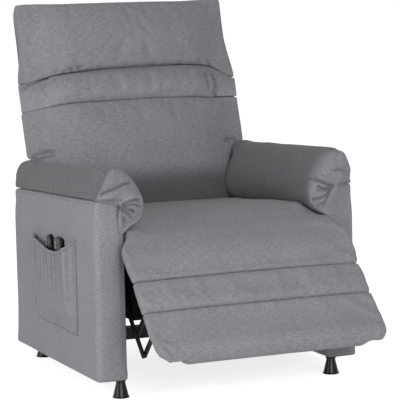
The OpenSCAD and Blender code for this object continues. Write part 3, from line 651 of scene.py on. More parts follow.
# A roll's outline from its outer seam over the top to its inner lower edge, as distances out from
# the arm's inner side and up from the arm's top: along its length, and at its nose
ROLL = [(80, 1), (83, 4), (84, 14), (82, 30), (80, 52), (70, 77), (54, 90), (33, 93), (11, 84),
        (-9, 65), (-28, 39), (-42, 10), (-49, -16), (-46, -36), (-34, -57), (-12, -74), (-1, -88)]
NOSE_ROLL = [(80, 1), (81, 5), (79, 15), (75, 30), (69, 50), (60, 71), (49, 87), (33, 93), (9, 84),
             (-12, 64), (-31, 39), (-46, 10), (-55, -17), (-54, -38), (-42, -59), (-17, -77), (-1, -88)]
ROLL_BACK_EDGE = [(0.5, -60), (0.5, -30), (1, -2), (30, 0.5), (60, 0.5)]
ROLL_NOSE_EDGE = [(14, -100), (21, -78), (19, -48), (17, -24), (40, -12), (64, -4)]
ROLL_POINTS, OVER_POINTS = 108, 78
ROLL_CENTRE = np.array([26.0, 20.0])
ROLL_CLOTH_STEP = 4.6
NOSE_AT = -10.0
CAP_FRONT, CAP_EDGE = -33.0, -6.0
# How full each roll is above the arm's top: along its length, and at its front cap
ROLL_RISE = {LEFT: (0.90, 0.97), RIGHT: (1.15, 1.08)}


def ridge_y(up):
    """Where the outer ridge of the front cap lies: it leans forwards as it rises above the arm's top."""
    return -3 - 22 * smooth(up, 8, 48)


def roll_section(y, s):
    """One roll's outline at y. At the front its outer side is drawn in to the slanting ridge."""
    nose = 1 - smooth(y, -4, 52)
    over = curve_through(ROLL, OVER_POINTS) * (1 - nose) + curve_through(NOSE_ROLL, OVER_POINTS) * nose
    edge = 1 - smooth(y, -2, 12)
    back, front = (curve_through([roll[-1], *under, roll[0]], ROLL_POINTS - OVER_POINTS + 2)[1:-1]
                   for roll, under in ((ROLL, ROLL_BACK_EDGE), (NOSE_ROLL, ROLL_NOSE_EDGE)))
    section = np.concatenate([over, back * (1 - edge) + front * edge])
    rise = ROLL_RISE[s][0] * (1 - nose) + ROLL_RISE[s][1] * nose
    section[:, 1] = np.where(section[:, 1] > 0, section[:, 1] * rise, section[:, 1])
    return section


def roll_rings(s):
    """A roll's rings from nose to rear: each point's y, the ring's size, and where its outline is read."""
    end_y = ARM_DEPTH + 3
    nose_section = roll_section(NOSE_AT, s)
    soft = 1 - smooth(nose_section[:, 0], 2, 44)
    edge = soft * CAP_EDGE + (1 - soft) * ridge_y(nose_section[:, 1])
    rings = []
    for t in np.linspace(0.05, 1, 26):
        k = t ** 0.8
        domed = CAP_FRONT + (edge - CAP_FRONT) * k ** 2.4
        turn = min(max((k - 0.5) / 0.5, 0), 1)
        turned = CAP_FRONT + (edge - CAP_FRONT) * (1 - math.sqrt(1 - turn ** 2))
        rings.append((soft * turned + (1 - soft) * domed, k, NOSE_AT))
    level = [(y, 1.0, y) for y in (1, 6, 12, 20, 30, *np.arange(40, end_y - 27, 10.0))]
    for angle in np.linspace(0, math.pi / 2, 7):
        y = end_y - 22 + 22 * math.sin(angle)
        level.append((y, 0.90 + 0.10 * math.cos(angle), y))
    level += [(end_y, k, end_y) for k in np.linspace(0.82, 0.1, 8)]
    return rings + [(np.full(ROLL_POINTS, float(y)), k, float(place)) for y, k, place in level]


def arm_pad(s):
    """The padded roll of one arm. Its front cap meets the outer side at a ridge, and rolls inwards."""
    rings = roll_rings(s)
    points = []
    for y, k, place in rings:
        section = ROLL_CENTRE + (roll_section(place, s) - ROLL_CENTRE) * k
        # Beside the back the roll keeps off the back cushions
        clear = smooth(y, 612, 650)
        section[:, 0] = section[:, 0] + clear * (np.maximum(section[:, 0], -5) - section[:, 0])
        up = section[:, 1]
        tucked = np.minimum(y + 24 * smooth(-up, -8, 88), np.maximum(y, -5.0))
        y = np.where(y < 4, tucked, y)
        points.append(np.stack([s * (ARM_IN + section[:, 0]), y, arm_top(y) + up], 1))
    count, last_ring = ROLL_POINTS, len(rings) - 1
    grid = np.concatenate([*points, [points[0].mean(0)], [points[-1].mean(0)]])
    first, last = len(grid) - 2, len(grid) - 1
    gaps = [max(abs(float(np.mean(b[0]) - np.mean(a[0]))), 90 * abs(b[1] - a[1]))
            for a, b in zip(rings, rings[1:])]
    steps = np.concatenate([[0], np.cumsum(gaps)])

    def flat(i, j):
        return [steps[i], j * ROLL_CLOTH_STEP]

    quads = grid_quads(len(rings), count, wrap=True)
    layout = []
    for i, j in (divmod(q[0], count) for q in quads):
        layout += [flat(i, j), flat(i, j + 1), flat(i + 1, j + 1), flat(i + 1, j)]
    for j in range(count):
        base = last_ring * count
        quads += [[first, (j + 1) % count, j], [last, base + j, base + (j + 1) % count]]
        layout += [flat(0, j)] * 3 + [flat(-1, j)] * 3
    obj = make(SIDE_NAME[s] + "_arm_roll", grid, quads, layout)
    if s == RIGHT:
        obj.data.flip_normals()

    def hold(p):
        q = from_side(p, s)
        up = q[:, 2] - arm_top(q[:, 1])
        sewn = (up < 8) & (q[:, 0] > ARM_IN - 3)
        ridge = (np.abs(q[:, 1] - ridge_y(up)) < 2.5) & (q[:, 0] > ARM_IN + 30)
        return np.where(sewn, 1.0, 0.0) + np.where(q[:, 1] > ARM_DEPTH - 30, 0.6, 0) + np.where(ridge, 0.9, 0)

    stuff(obj, hold, pressure=1.0, cap=4, grow=0.010)
    return obj


# Folds on the front caps, as distances out from the chair's middle and heights

LEFT_CAP = [
    ([(391, 577), (371, 590), (349, 599), (328, 608), (300, 612)], -6.5, 3.4, 0.08),
    ([(390, 592), (366, 608), (340, 619)], 3.0, 8, 0.3),
    ([(384, 573), (356, 581), (326, 584)], 3.0, 8, 0.3),
    ([(332, 548), (314, 558), (292, 563), (274, 558)], -10, 4.0, 0.12),
    ([(329, 545), (305, 549), (286, 546), (268, 538)], -8, 3.6, 0.15),
    ([(330, 552), (306, 568), (284, 580)], 3.5, 8, 0.3),
    ([(325, 541), (304, 533), (289, 522)], -10, 4.0, 0.12),
    ([(303, 546), (292, 524)], -6, 3.6, 0.2),
    ([(323, 534), (306, 519), (293, 503)], -7.5, 4.4, 0.2),
    ([(318, 541), (298, 538), (280, 528)], 3.5, 5, 0.3),
    ([(326, 518), (318, 503), (315, 480)], -6, 4.2, 0.2),
    ([(337, 547), (327, 541), (325, 527)], -10, 5.5, 0.05),
]
RIGHT_CAP = [
    ([(320, 560), (302, 567), (284, 576), (267, 581), (254, 575)], -10.5, 4.4, 0.1),
    ([(318, 562), (300, 577), (280, 590), (262, 594)], 4.5, 8, 0.3),
    ([(317, 556), (301, 551), (285, 555), (271, 566)], -9, 4.0, 0.12),
    ([(316, 551), (298, 546), (280, 547), (264, 553)], -6.5, 4.0, 0.2),
    ([(318, 549), (305, 534), (288, 523), (262, 520)], -9.5, 4.4, 0.12),
    ([(296, 514), (289, 497), (272, 506)], -6.5, 4.4, 0.2),
    ([(314, 545), (304, 515), (301, 490)], -6.5, 4.0, 0.2),
    ([(372, 597), (346, 607), (318, 606)], -5, 4.0, 0.2),
    ([(384, 576), (356, 584), (330, 583)], 3.0, 9, 0.3),
    ([(327, 560), (317, 556), (314, 544)], -11, 5.5, 0.05),
]
CAP_FOLDS = {LEFT: LEFT_CAP, RIGHT: RIGHT_CAP}
# How light the rolls' side cloth is beside their front caps: partly a darker nap of the cloth, partly painted
# shade, more so on the right roll beside the shaded seat well
PAD_SIDE_NAP_AND_SHADE = {LEFT: 0.57, RIGHT: 0.50}
# Painted shade: how much darker the upper part of each front cap is, where it turns up away from the low front
# light
CAP_TOP_SHADE = {LEFT: 0.15, RIGHT: 0.07}


def finish_pad(obj, s):
    def folds(p):
        q = from_side(p, s)
        cap = smooth(-q[:, 1], 1, 9)
        total = 1.6 * ripple(p, 120, 11 + s) + 0.9 * ripple(p, 42, 5 + s) * (0.3 + cap)
        total += cap * creases(q[:, [0, 2]], CAP_FOLDS[s])
        for k, y in enumerate((50, 130, 235, 360, 480, 600, 680)):
            top = arm_top(y)
            outside = [[ARM_OUT + 4, y, top - 4], [ARM_OUT + 12, y + 14 * (-1) ** k, top + 46]]
            inside = [[ARM_IN - 36, y + 30, top - 30], [ARM_IN - 8, y + 18, top + 62]]
            total += creases(q, [(outside, -1.8, 10, 0.35), (inside, -1.8, 14, 0.4)])
        gather = smooth(-q[:, 1], -60, -4) * (1 - cap) * smooth(q[:, 0], ARM_IN + 30, ARM_IN + 60)
        return total + gather * 1.2 * np.sin(q[:, 2] / 5.5)

    def shade(p):
        q = from_side(p, s)
        up = q[:, 2] - arm_top(q[:, 1])
        outer = smooth(q[:, 0], ARM_IN + 14, ARM_IN + 40)
        behind = outer * smooth(q[:, 1] - ridge_y(up), -0.5, 3) + (1 - outer) * smooth(q[:, 1], -14, 62)
        folded = creases(q[:, [0, 2]], CAP_FOLDS[s]) * (1 - behind)
        hem = (1 - smooth(np.abs(up - 3), 0, 7)) * smooth(q[:, 0], ARM_IN + 12, ARM_IN + 20) * (1 - behind)
        front = 1.0 - CAP_TOP_SHADE[s] * smooth(up, 4, 34)
        # Painted shade: the roll's sides take their darker nap and painted shade, the cap's top is darker, and its
        # narrow folds and the seam at its foot are darkened where shade falls.
        return front + (PAD_SIDE_NAP_AND_SHADE[s] - front) * behind - 0.34 * smooth(-folded, 0.8, 8) - 0.35 * hem

    dress(obj, folds, shade, "base", SIDE_NAME[s] + "_arm_pad", fill=0.85)


# Seat, chaise and footrest: each table gives a height or a thickness at y

CHAISE_TOP = [(597, 468), (540, 478), (440, 489), (330, 500), (230, 509), (150, 512), (90, 509),
              (52, 500), (20, 484), (-14, 471), (-48, 450), (-80, 427), (-101, 407), (-120, 381),
              (-138, 353)]
CHAISE_THICK = [(597, 58), (540, 66), (440, 75), (330, 82), (230, 88), (150, 88), (90, 83), (52, 71),
                (20, 44), (-14, 33), (-48, 31), (-80, 31), (-101, 31), (-120, 27), (-138, 22)]
SKIRT_HEM = [(420, 424), (300, 420), (160, 410), (60, 398), (10, 391), (-30, 381), (-62, 371),
             (-100, 361), (-128, 350)]
STEEL_TOP = [(-40, 430), (-26, 452), (-19, 465), (-10, 468), (4, 466), (70, 422)]
SEAT_SIDE, FLARED_SIDE = 311.0, 346.0
CHAISE_LINE = curve_through(CHAISE_TOP, 400)


def chaise_width(y):
    """Half the cover's width at y: it fills the space between the arms, and flares in front of them."""
    return SEAT_SIDE + (FLARED_SIDE - SEAT_SIDE) * smooth(-y, 9, 74) - 3 * smooth(-y, 118, 140)


def edge_drop(x, y):
    """How far the seat's edges lie below its middle: under the arm pads they are pressed down."""
    under_pad = 40 * np.clip((np.abs(x) - 250) / 61, 0, 1) ** 1.6 * smooth(y, -16, 64)
    return under_pad + 4 * (np.abs(x) / 311) ** 2 * smooth(y, -20, 60)


def seat_cover():
    """The seat and the upper footrest panel in one cover, which bends over the knee."""
    steps = run_along(CHAISE_LINE)
    kernel = np.ones(25) / 25
    tangent = np.stack([np.convolve(np.pad(slope, 12, mode="edge"), kernel, mode="valid")
                        for slope in np.gradient(CHAISE_LINE, axis=0).T], 1)
    tangent = tangent / np.linalg.norm(tangent, axis=1, keepdims=True)
    thick_at = read(CHAISE_THICK, CHAISE_LINE[:, 0])
    half = np.array([343.0, steps[-1] / 2, 16.0])

    def shape(p):
        depth = (half[2] - p[:, 2]) / (2 * half[2])
        y, z, ty, tz, thick = (np.interp(p[:, 1] + half[1], steps, values)
                               for values in (*CHAISE_LINE.T, *tangent.T, thick_at))
        across = p[:, 0] / half[0]
        x = across * chaise_width(y)
        drop = edge_drop(x, y) - 5 * (1 - across ** 2) * smooth(-y, 20, 80)
        beside = smooth(np.abs(x), 272, 283) * smooth(y, -60, -34) * (1 - smooth(y, 60, 110))
        room = np.clip(z - drop - read(STEEL_TOP, y) - 2, 3.5, None)
        deep = thick - drop
        deep = deep + beside * (np.minimum(deep, room) - deep)
        sink = drop + depth * deep
        return np.stack([x, y - tz * sink, z + ty * sink], 1)

    obj = block_piece("seat_and_chaise_cover", half, 13, 10, shape,
                      tight=(4, lambda flat: smooth(np.abs(flat[:, 0]), 270, 330)))

    def hold(p):
        u = to_footrest(p)[:, 1]
        edge = smooth(np.abs(p[:, 0]), 262, 282) * smooth(p[:, 1], -60, -30)
        low = (p[:, 2] < 440) & (p[:, 1] > 30)
        return np.maximum.reduce([np.where(low, 1.0, 0), smooth(u, SEAM_ONE - 14, SEAM_ONE - 6),
                                  edge, smooth(p[:, 1], 560, 590)])

    stuff(obj, hold, pressure=2.2, cap=8, grow=0.012)
    return obj


def blend_over_knee(obj):
    start, end = row([[0, KNEE[0] + 30, KNEE[1] + 24], [0, KNEE[0] - 34, KNEE[1] - 8]])
    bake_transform(obj)


def finish_seat(obj):
    def folds(p):
        f = to_footrest(p)
        seat_top = smooth(p[:, 1], -20, 20)
        total = 1.8 * ripple(p, 170, 21) + 0.8 * ripple(p, 60, 22)
        places = (-318, -270, -196, -110, -20, 66, 150, 222, 290, 326)
        total += smooth(f[:, 1], 60, 100) * creases(f[:, :2], seam_folds(places, SEAM_ONE - 2,
                                                                         SEAM_ONE - 40, 14, -2.0))
        for s in SIDES:
            over = [([(s * 300, -6), (s * 276, 60), (s * 262, 140)], -2.6, 12, 0.3),
                    ([(s * 250, 250), (s * 200, 262), (s * 120, 255)], -2.0, 20, 0.4),
                    ([(s * 240, 430), (s * 180, 410), (s * 100, 420)], -2.2, 20, 0.4)]
            total += seat_top * creases(p[:, :2], over)
        return total * (1 - 0.8 * smooth(np.abs(p[:, 0]), 286, 300) * seat_top)

    def shade(p):
        # Painted light and shade: lighter on the front slope, darker at the rear beneath the back cushions.
        return 1.0 + 0.03 * smooth(-p[:, 1], 30, 130) - 0.06 * smooth(p[:, 1], 80, 220)

    dress(obj, folds, shade, None, "seat_cushion", "chaise_upper_pad", fill=0.8)
    blend_over_knee(obj)


def skirt(s):
    """The cover's side flap, which hangs between the mechanism and the arm and follows the flare."""
    path = CHAISE_LINE[(CHAISE_LINE[:, 0] < 420) & (CHAISE_LINE[:, 0] > -130)][::4]
    y = path[:, 0]
    wide = chaise_width(y)
    top = path[:, 1] - edge_drop(wide, y) - 5
    bottom = np.minimum(read(SKIRT_HEM, y), top - 4)
    outer, inner = [], []
    for share in np.linspace(0, 1, 12):
        z = top + (bottom - top) * share
        tuck = (wide - 308.5) * smooth(share, 0.0, 0.5) * smooth(-y, 0, 16)
        ruffle = 0.6 * np.sin(y / 13) * share * smooth(-y, 0, 40)
        x = wide - 0.9 - tuck - ruffle
        outer.append(np.stack([s * x, y, z], 1))
        inner.append(np.stack([s * (x - 1.6), y, z], 1))
    obj = sheet_piece(SIDE_NAME[s] + "_seat_flap", outer + inner, len(path))
    tone_and_painted_shade(obj, 0.97)
    finish(obj, "woven_fabric")
    blend_over_knee(obj)


def footrest_panel(name, u0, u1, top, wide, node_name, seed, end_roll=False):
    """A sewn panel of the footrest between two distances from the knee, and how to finish it."""
    half = np.array([343.0, (u1 - u0) / 2, 13.0])

    def shape(p):
        u = u0 + (p[:, 1] + half[1]) / (2 * half[1]) * (u1 - u0)
        out = (p[:, 2] + half[2]) / (2 * half[2])
        across = p[:, 0] / half[0]
        high = read(top, u) + 4 * (1 - across ** 2) - 5 * np.abs(across) ** 8
        low = np.zeros(len(u)) + 0.5
        if end_roll:
            between_arms = 1 - smooth(np.abs(p[:, 0]), 284, 298)
            low = low - 26 * smooth(u, u1 - 31, u1 - 26) * between_arms
            high = high - 17 * smooth(u, u1 - 16, u1 + 4) * (0.3 + 0.7 * between_arms)
        return from_footrest(np.stack([across * wide(u, across), u, low + out * (high - low)], 1))

    obj = block_piece(name, half, 10, 10, shape,
                      tight=(4, lambda flat: smooth(np.abs(flat[:, 0]), 290, 335)))

    def hold(p):
        f = to_footrest(p)
        seam = np.maximum(1 - smooth(f[:, 1], u0 + 6, u0 + 14),
                          0 if end_roll else smooth(f[:, 1], u1 - 14, u1 - 6))
        return np.maximum(seam, np.where(f[:, 2] < 4, 1.0, 0))

    stuff(obj, hold, pressure=1.6, cap=6, grow=0.012)

    places = np.arange(-318, 340, 71)
    lines = seam_folds(places, u0 + 2, u0 + 30, 14, -1.8)
    if end_roll:
        for s in SIDES:
            lines += [([(s * 337, u1 - 32), (s * 318, u1 - 16), (s * 306, u1 - 2)], -4, 6, 0.1),
                      ([(s * 330, u1 - 56), (s * 300, u1 - 30), (s * 272, u1 - 14)], -2.4, 9, 0.3)]
    else:
        lines += seam_folds(places + 30, u1 - 2, u1 - 28, -14, -1.6)

    def folds(p):
        return 1.2 * ripple(p, 150, seed) + 0.6 * ripple(p, 50, seed + 1) + creases(to_footrest(p)[:, :2],
                                                                                    lines)

    return obj, lambda: dress(obj, folds, 1.03, "footrest", node_name, fill=0.75)


BAND_TOP = [(157, 20), (175, 25), (210, 28), (243, 26), (262, 20)]
LOWER_TOP = [(262, 20), (282, 24), (322, 24), (355, 27), (380, 31), (401, 26), (422, 15)]


def band_width(u, across):
    """Half the middle panel's width."""
    return 344 + 3 * smooth(u, 157, 200)


def lower_width(u, across):
    """Half the lowest panel's width: its corners are cut back, more so on the left."""
    cut = np.where(across < 0, 36 * smooth(u, 384, 424), 14 * smooth(u, 398, 422))
    return 347 - 3 * smooth(u, 320, 390) - cut


def line(a, b, count=60):
    """Evenly spread points from a to b."""
    return np.linspace(np.array(a, float), np.array(b, float), count)


def lining():
    """The black cloth under the seat front. It turns the corners and runs back inside the plates."""
    low, high = node_box("seat_lining")
    side, back, flap_top = 283.0, 106.0, 342.0
    plan = np.concatenate([line([-side, back], [-side, low[1] + 3], 16),
                           line([-side + 3, low[1]], [side - 3, low[1]], 90),
                           line([side, low[1] + 3], [side, back], 16)])
    flap = np.abs(plan[:, 0]) > side - 0.5
    top = np.where(flap, flap_top, high[2])
    layers = []
    for layer in (0.0, 1.2):
        for share in np.linspace(0, 1, 26):
            wave = (1.1 * np.sin(plan[:, 0] / 21) + 0.8 * np.sin(plan[:, 0] / 47 + 2)) * share
            x = plan[:, 0] - np.where(flap, np.sign(plan[:, 0]) * layer, 0)
            y = plan[:, 1] + np.where(flap, 0, wave * 0.5 + layer)
            layers.append(np.stack([x, y, top - share * (top - low[2])], 1))
    obj = sheet_piece("under_seat_cloth", layers, len(plan), woven=False)
    finish(obj, "black_lining", "seat", ["seat_lining"])


# Back

BACK_TOP = 705.0
LOW_SEAM = [(-366, 360), (-296, 370), (-217, 377), (-94, 374.5), (61, 376), (234, 375), (281, 372),
            (306, 378), (351, 378)]
HIGH_SEAM = [(-370, 449), (-278, 466), (-233, 471), (-121, 478), (23, 482), (180, 482), (275, 478),
             (320, 458), (350, 438)]


def low_seam(x):
    return soft_line(x, LOW_SEAM)


def high_seam(x):
    return soft_line(x, HIGH_SEAM)


def top_edge(x):
    """The head cushion's upper edge before it swells: lower in its middle and on the right."""
    return BACK_TOP - 0.5 - 7.5 * (1 - smooth(np.abs(x), 170, 335)) - 4.5 * smooth(x, -220, 40)


def full_width(z, depth):
    """Half the width of the neck roll and the head cushion, which narrow upwards."""
    return 346 + 20 * (1 - smooth(z, 470, 600))


def lumbar_width(z, depth):
    """Between the arms the lumbar cushion is narrower. Its wings hang lower at the front."""
    front = smooth(-depth, -0.7, -0.1)
    beside_arms = 285 + 17 * smooth(z, 60, 110) * front
    return beside_arms + (364 - beside_arms) * smooth(z, 212 - 34 * front, 228 + 8 * front)


def side_taper(y, z, width):
    """How much each side of the back is drawn in between its front and its rear panel."""
    rear = 311 + 8 * smooth(z, 400, 520) + 3 * smooth(z, 600, 690)
    return np.clip(width - rear, 0, None) * np.clip((y + 32) / 93, 0, 1)


def back_cushion(name, low, high, depth, width, r, full, cheeks_from=0):
    """A back cushion. low and high give its edges at x, depth its crown by height.

    Towards its ends it flattens, and its seams close to thin lines. A greater full keeps it thick
    nearer to its ends. Above cheeks_from its sides reach back to the rear panel.
    """
    mid_low, mid_high = float(low(np.zeros(1))[0]), float(high(np.zeros(1))[0])
    half = np.array([352.0, 62.0, (mid_high - mid_low) / 2])
    side_front, rear_low, rear_high = -42, -12.5, 61

    def shape(p):
        across = p[:, 0] / half[0]
        share = (p[:, 2] + half[2]) / (2 * half[2])
        flat_z = mid_low + share * (mid_high - mid_low)
        q = (p[:, 1] + half[1]) / (2 * half[1])
        rough_x = across * width(flat_z, q)
        z = low(rough_x) + share * (high(rough_x) - low(rough_x))
        ends = smooth(np.abs(rough_x), 196, 330)
        tight = 1 - 0.55 * ends
        q = np.where(q < 0.5, q * tight, 0.5 * tight + (q - 0.5) * (2 - tight))
        bow = (1 - np.abs(rough_x / 352) ** full) * (1 - 0.4 * ends)
        front = side_front - (read(depth, flat_z) + side_front) * np.clip(bow, 0, 1)
        wrap = smooth(np.abs(rough_x), 292.5, 297) * smooth(flat_z, cheeks_from - 6, cheeks_from + 1)
        y = front + q * (rear_low + wrap * (rear_high - rear_low) - front)
        taper = side_taper(y, z, width(flat_z, q))
        x = rough_x - np.sign(rough_x) * taper * smooth(np.abs(across), 0.55, 1.0)
        return from_back(np.stack([x, y, z], 1))

    obj = block_piece(name, half, r, 10, shape,
                      tight=(1.6, lambda flat: smooth(np.abs(flat[:, 0]), 196, 332)))

    def hold(p):
        b = to_back(p)
        above = b[:, 2] - low(b[:, 0])
        below = high(b[:, 0]) - b[:, 2]
        seams = 1 - smooth(np.minimum(above, below), 5, 12)
        behind = smooth(b[:, 1], -34, -18)
        sides = smooth(np.abs(b[:, 0]), 300, 325)
        return np.maximum.reduce([behind, seams * (0.7 + 0.3 * sides), sides * 0.9])

    stuff(obj, hold, pressure=2.0, cap=8, grow=0.016)
    return obj


def finish_back(obj, node_name, extra, seed, lightness=1.0, foot_shade=0.0, top_shade=0.0):
    def folds(p):
        b = to_back(p)
        total = 2.2 * ripple(p, 190, seed) + 1.0 * ripple(p, 75, seed + 1)
        return (total + creases(b[:, [0, 2]], extra)) * smooth(-b[:, 1], 6, 30)

    def shade(p):
        b = to_back(p)
        folded = creases(b[:, [0, 2]], [fold for fold in extra if fold[2] < 8])
        # Painted shade: darker at the lumbar cushion's foot where it meets the seat, darker on the neck roll's top
        # under the head cushion and lighter on its lower part, and darker in narrow folds.
        low = foot_shade * (1 - smooth(b[:, 2], 96, 178)) + top_shade * (smooth(b[:, 2], 385, 470) - 0.5)
        return lightness - low - 0.36 * smooth(-folded, 1.8, 6) * smooth(-b[:, 1], 6, 30)

    dress(obj, folds, shade, "back", node_name, fill=0.8)


# Folds on the back cushions, across and up from the recline hinge

HEAD_FOLDS = [
    ([(-238, 472), (-196, 490)], -5.5, 5, 0.2), ([(-215, 475), (-168, 492)], -5, 5, 0.2),
    ([(-193, 477), (-156, 493)], -4, 5, 0.25), ([(-226, 480), (-186, 497)], 3.2, 6, 0.3),
    ([(-204, 483), (-164, 498)], 3.0, 6, 0.3), ([(-262, 470), (-240, 486)], -3.5, 6, 0.25),
    ([(278, 474), (250, 496)], -5.5, 5, 0.2), ([(292, 470), (270, 493)], -4.5, 5, 0.2),
    ([(240, 480), (224, 498)], -4, 6, 0.25), ([(262, 482), (240, 500)], 3.2, 6, 0.3),
    ([(-352, 452), (-316, 462), (-276, 480)], 3.0, 9, 0.3),
    ([(352, 446), (322, 462), (290, 486)], 3.0, 9, 0.3),
    ([(-244, 502), (-130, 522), (0, 526)], -2.2, 22, 0.4),
    ([(244, 506), (130, 524), (20, 528)], -2.2, 22, 0.4),
    ([(-352, 600), (-300, 590), (-230, 600)], -2.0, 16, 0.35),
    ([(352, 560), (300, 572), (240, 566)], -2.0, 16, 0.35),
    ([(-120, 476), (-108, 492)], -2.5, 7, 0.3), ([(-30, 478), (-22, 494)], -2.2, 7, 0.3),
    ([(70, 478), (62, 495)], -2.5, 7, 0.3), ([(165, 478), (154, 494)], -2.8, 7, 0.3),
]
NECK_FOLDS = [
    ([(-268, 464), (-300, 457), (-330, 448), (-353, 429)], -5.5, 5, 0.1),
    ([(-262, 458), (-286, 440), (-304, 416)], -3.5, 7, 0.25),
    ([(-250, 464), (-262, 440)], -3.5, 6, 0.25),
    ([(-280, 452), (-316, 440), (-350, 414)], 3.5, 9, 0.3),
    ([(245, 460), (252, 426), (258, 390)], -6, 6, 0.15),
    ([(271, 458), (284, 430), (287, 408), (272, 376)], -7.5, 6, 0.12),
    ([(285, 394), (286, 368)], -5, 5, 0.15),
    ([(226, 458), (231, 420)], -3.5, 7, 0.3),
    ([(258, 455), (269, 420), (265, 388)], 4.5, 7, 0.25),
    ([(302, 456), (304, 400)], -3, 9, 0.3),
    ([(-236, 462), (-210, 450), (-120, 448)], -2.4, 10, 0.35),
    ([(210, 382), (150, 392), (60, 390)], -2.2, 10, 0.35),
    ([(-230, 380), (-222, 398)], -3, 7, 0.3), ([(-120, 378), (-114, 394)], -2.2, 7, 0.3),
    ([(120, 378), (112, 396)], -2.4, 7, 0.3), ([(10, 466), (14, 450)], -2.2, 7, 0.3),
    ([(130, 466), (138, 448)], -2.4, 7, 0.3),
]
LUMBAR_FOLDS = [
    ([(-352, 214), (-332, 228), (-307, 233), (-278, 227)], -8, 4.5, 0.1),
    ([(-350, 206), (-320, 216), (-276, 217)], -6.5, 4.5, 0.15),
    ([(-342, 218), (-310, 225), (-284, 223)], 3, 4, 0.3),
    ([(350, 228), (322, 240), (286, 238)], -6, 6, 0.1),
    ([(326, 222), (300, 230), (276, 224)], -4.5, 6, 0.2),
    ([(-270, 150), (-180, 180), (-60, 192)], -2.6, 22, 0.4),
    ([(270, 120), (170, 160), (50, 176)], -2.6, 22, 0.4),
    ([(-210, 40), (-60, 62), (80, 60), (215, 38)], -3, 18, 0.3),
    ([(-250, 366), (-240, 346)], -3.2, 7, 0.3), ([(-150, 370), (-142, 350)], -2.4, 7, 0.3),
    ([(-40, 372), (-36, 352)], -2, 7, 0.3), ([(80, 372), (86, 350)], -2.4, 7, 0.3),
    ([(190, 370), (200, 348)], -2.8, 7, 0.3), ([(270, 366), (262, 344)], -4, 7, 0.25),
    ([(-350, 330), (-310, 322), (-250, 330)], -2, 16, 0.35),
    ([(350, 300), (310, 310), (250, 300)], -2, 16, 0.35),
]


def rear_panel():
    """The outer back: one cut panel sewn round its edge, with a closing seam down the middle."""
    half = np.array([320.0, 7.0, (BACK_TOP + 53) / 2])

    def shape(p):
        z = p[:, 2] + half[2] - 55
        wide = 284 + 27 * smooth(z, 212, 236) + 9 * smooth(z, 400, 520)
        across = p[:, 0] / half[0]
        fill = (1 - across ** 4) * (1 - np.abs((z - 325) / 381) ** 4)
        y = 69 + p[:, 1] + np.where(p[:, 1] > 0, 5 * np.clip(fill, 0, 1), 0)
        return from_back(np.stack([across * wide, y, z], 1))

    seams = [([(0, -50), (0, 330), (0, 690)], -2.6, 5, 0.02),
             ([(-308, 236), (-100, 228), (100, 228), (308, 236)], -2.4, 6, 0.05)]
    pulls = [([(s * 306, z), (s * 262, z + 12 * (-1) ** k)], -1.6, 11, 0.35)
             for k, z in enumerate(range(20, 690, 74)) for s in SIDES]

    def folds(p):
        b = to_back(p)
        total = 1.8 * ripple(p, 170, 61) + 0.7 * ripple(p, 60, 62) + creases(b[:, [0, 2]], seams + pulls)
        return total * smooth(b[:, 1], 66, 72)

    obj = block_piece("outer_back_panel", half, 6, 13, shape)
    return dress(obj, folds, 1.0, "back", "back_rear_panel", fill=0.6)


def top_strip():
    """The strip of cloth over the back frame, between the head cushion and the outer back."""
    half = np.array([297.0, 41.0, 6.0])

    def shape(p):
        sag = 2.5 * (1 - (p[:, 0] / half[0]) ** 2) * (1 - (p[:, 1] / half[1]) ** 2)
        return from_back(np.stack([p[:, 0], 27 + p[:, 1], 693 + p[:, 2] - sag], 1))

    def folds(p):
        return 1.2 * ripple(p, 90, 71) + 0.6 * ripple(p, 35, 72)

    dress(block_piece("back_top_strip", half, 4, 11, shape), folds, 1.0, "back", fill=0.6)


# Pocket and hand controls

POCKET_FRONT, POCKET_REAR, POCKET_BOTTOM = 154.0, 526.0, 160.0
POCKET_FACE = ARM_OUT + 6.2
POCKET_COLUMNS, POCKET_ROWS = 240, 60
MOUTH = [(154, 436), (190, 413), (230, 396), (275, 387), (318, 385), (365, 388), (420, 397), (480, 407),
         (526, 412)]


def wander(across):
    """How far the gathers of the pocket stray from an even spacing."""
    return 1.9 * np.sin(across * 7.3) + 0.8 * np.sin(across * 17 + 1.3)


def pleat_at(across, share):
    """How far each gather of the pocket cloth stands up, from 0 to 1."""
    return 0.5 + 0.5 * np.sin(across * 2 * np.pi * 13 + wander(across) + 0.8 * share)


def pocket_place(y, share):
    """Where the pocket cloth lies: y along the arm, share up from the lower seam to the mouth."""
    z = POCKET_BOTTOM + share * (read(MOUTH, y) - POCKET_BOTTOM)
    across = (y - POCKET_FRONT) / (POCKET_REAR - POCKET_FRONT)
    open_here = smooth(np.minimum(across, 1 - across), 0.0, 0.17)
    fine = 0.5 + 0.5 * np.sin(across * 2 * np.pi * 29 + 3 * wander(across))
    lift = 0.55 + 0.45 * np.sin(across * 37 + 1)
    pleats = (6.6 * pleat_at(across, share) ** 1.4 * lift * smooth(share, 0.15, 0.9)
              + 1.6 * fine * smooth(share, 0.7, 1.0))
    belly = 18 * open_here * smooth(share, -0.02, 0.30) + pleats * open_here ** 0.4
    belly = belly + 0.9 * np.sin(share * 9 + across * 11) * open_here
    return -(POCKET_FACE + belly), y, z


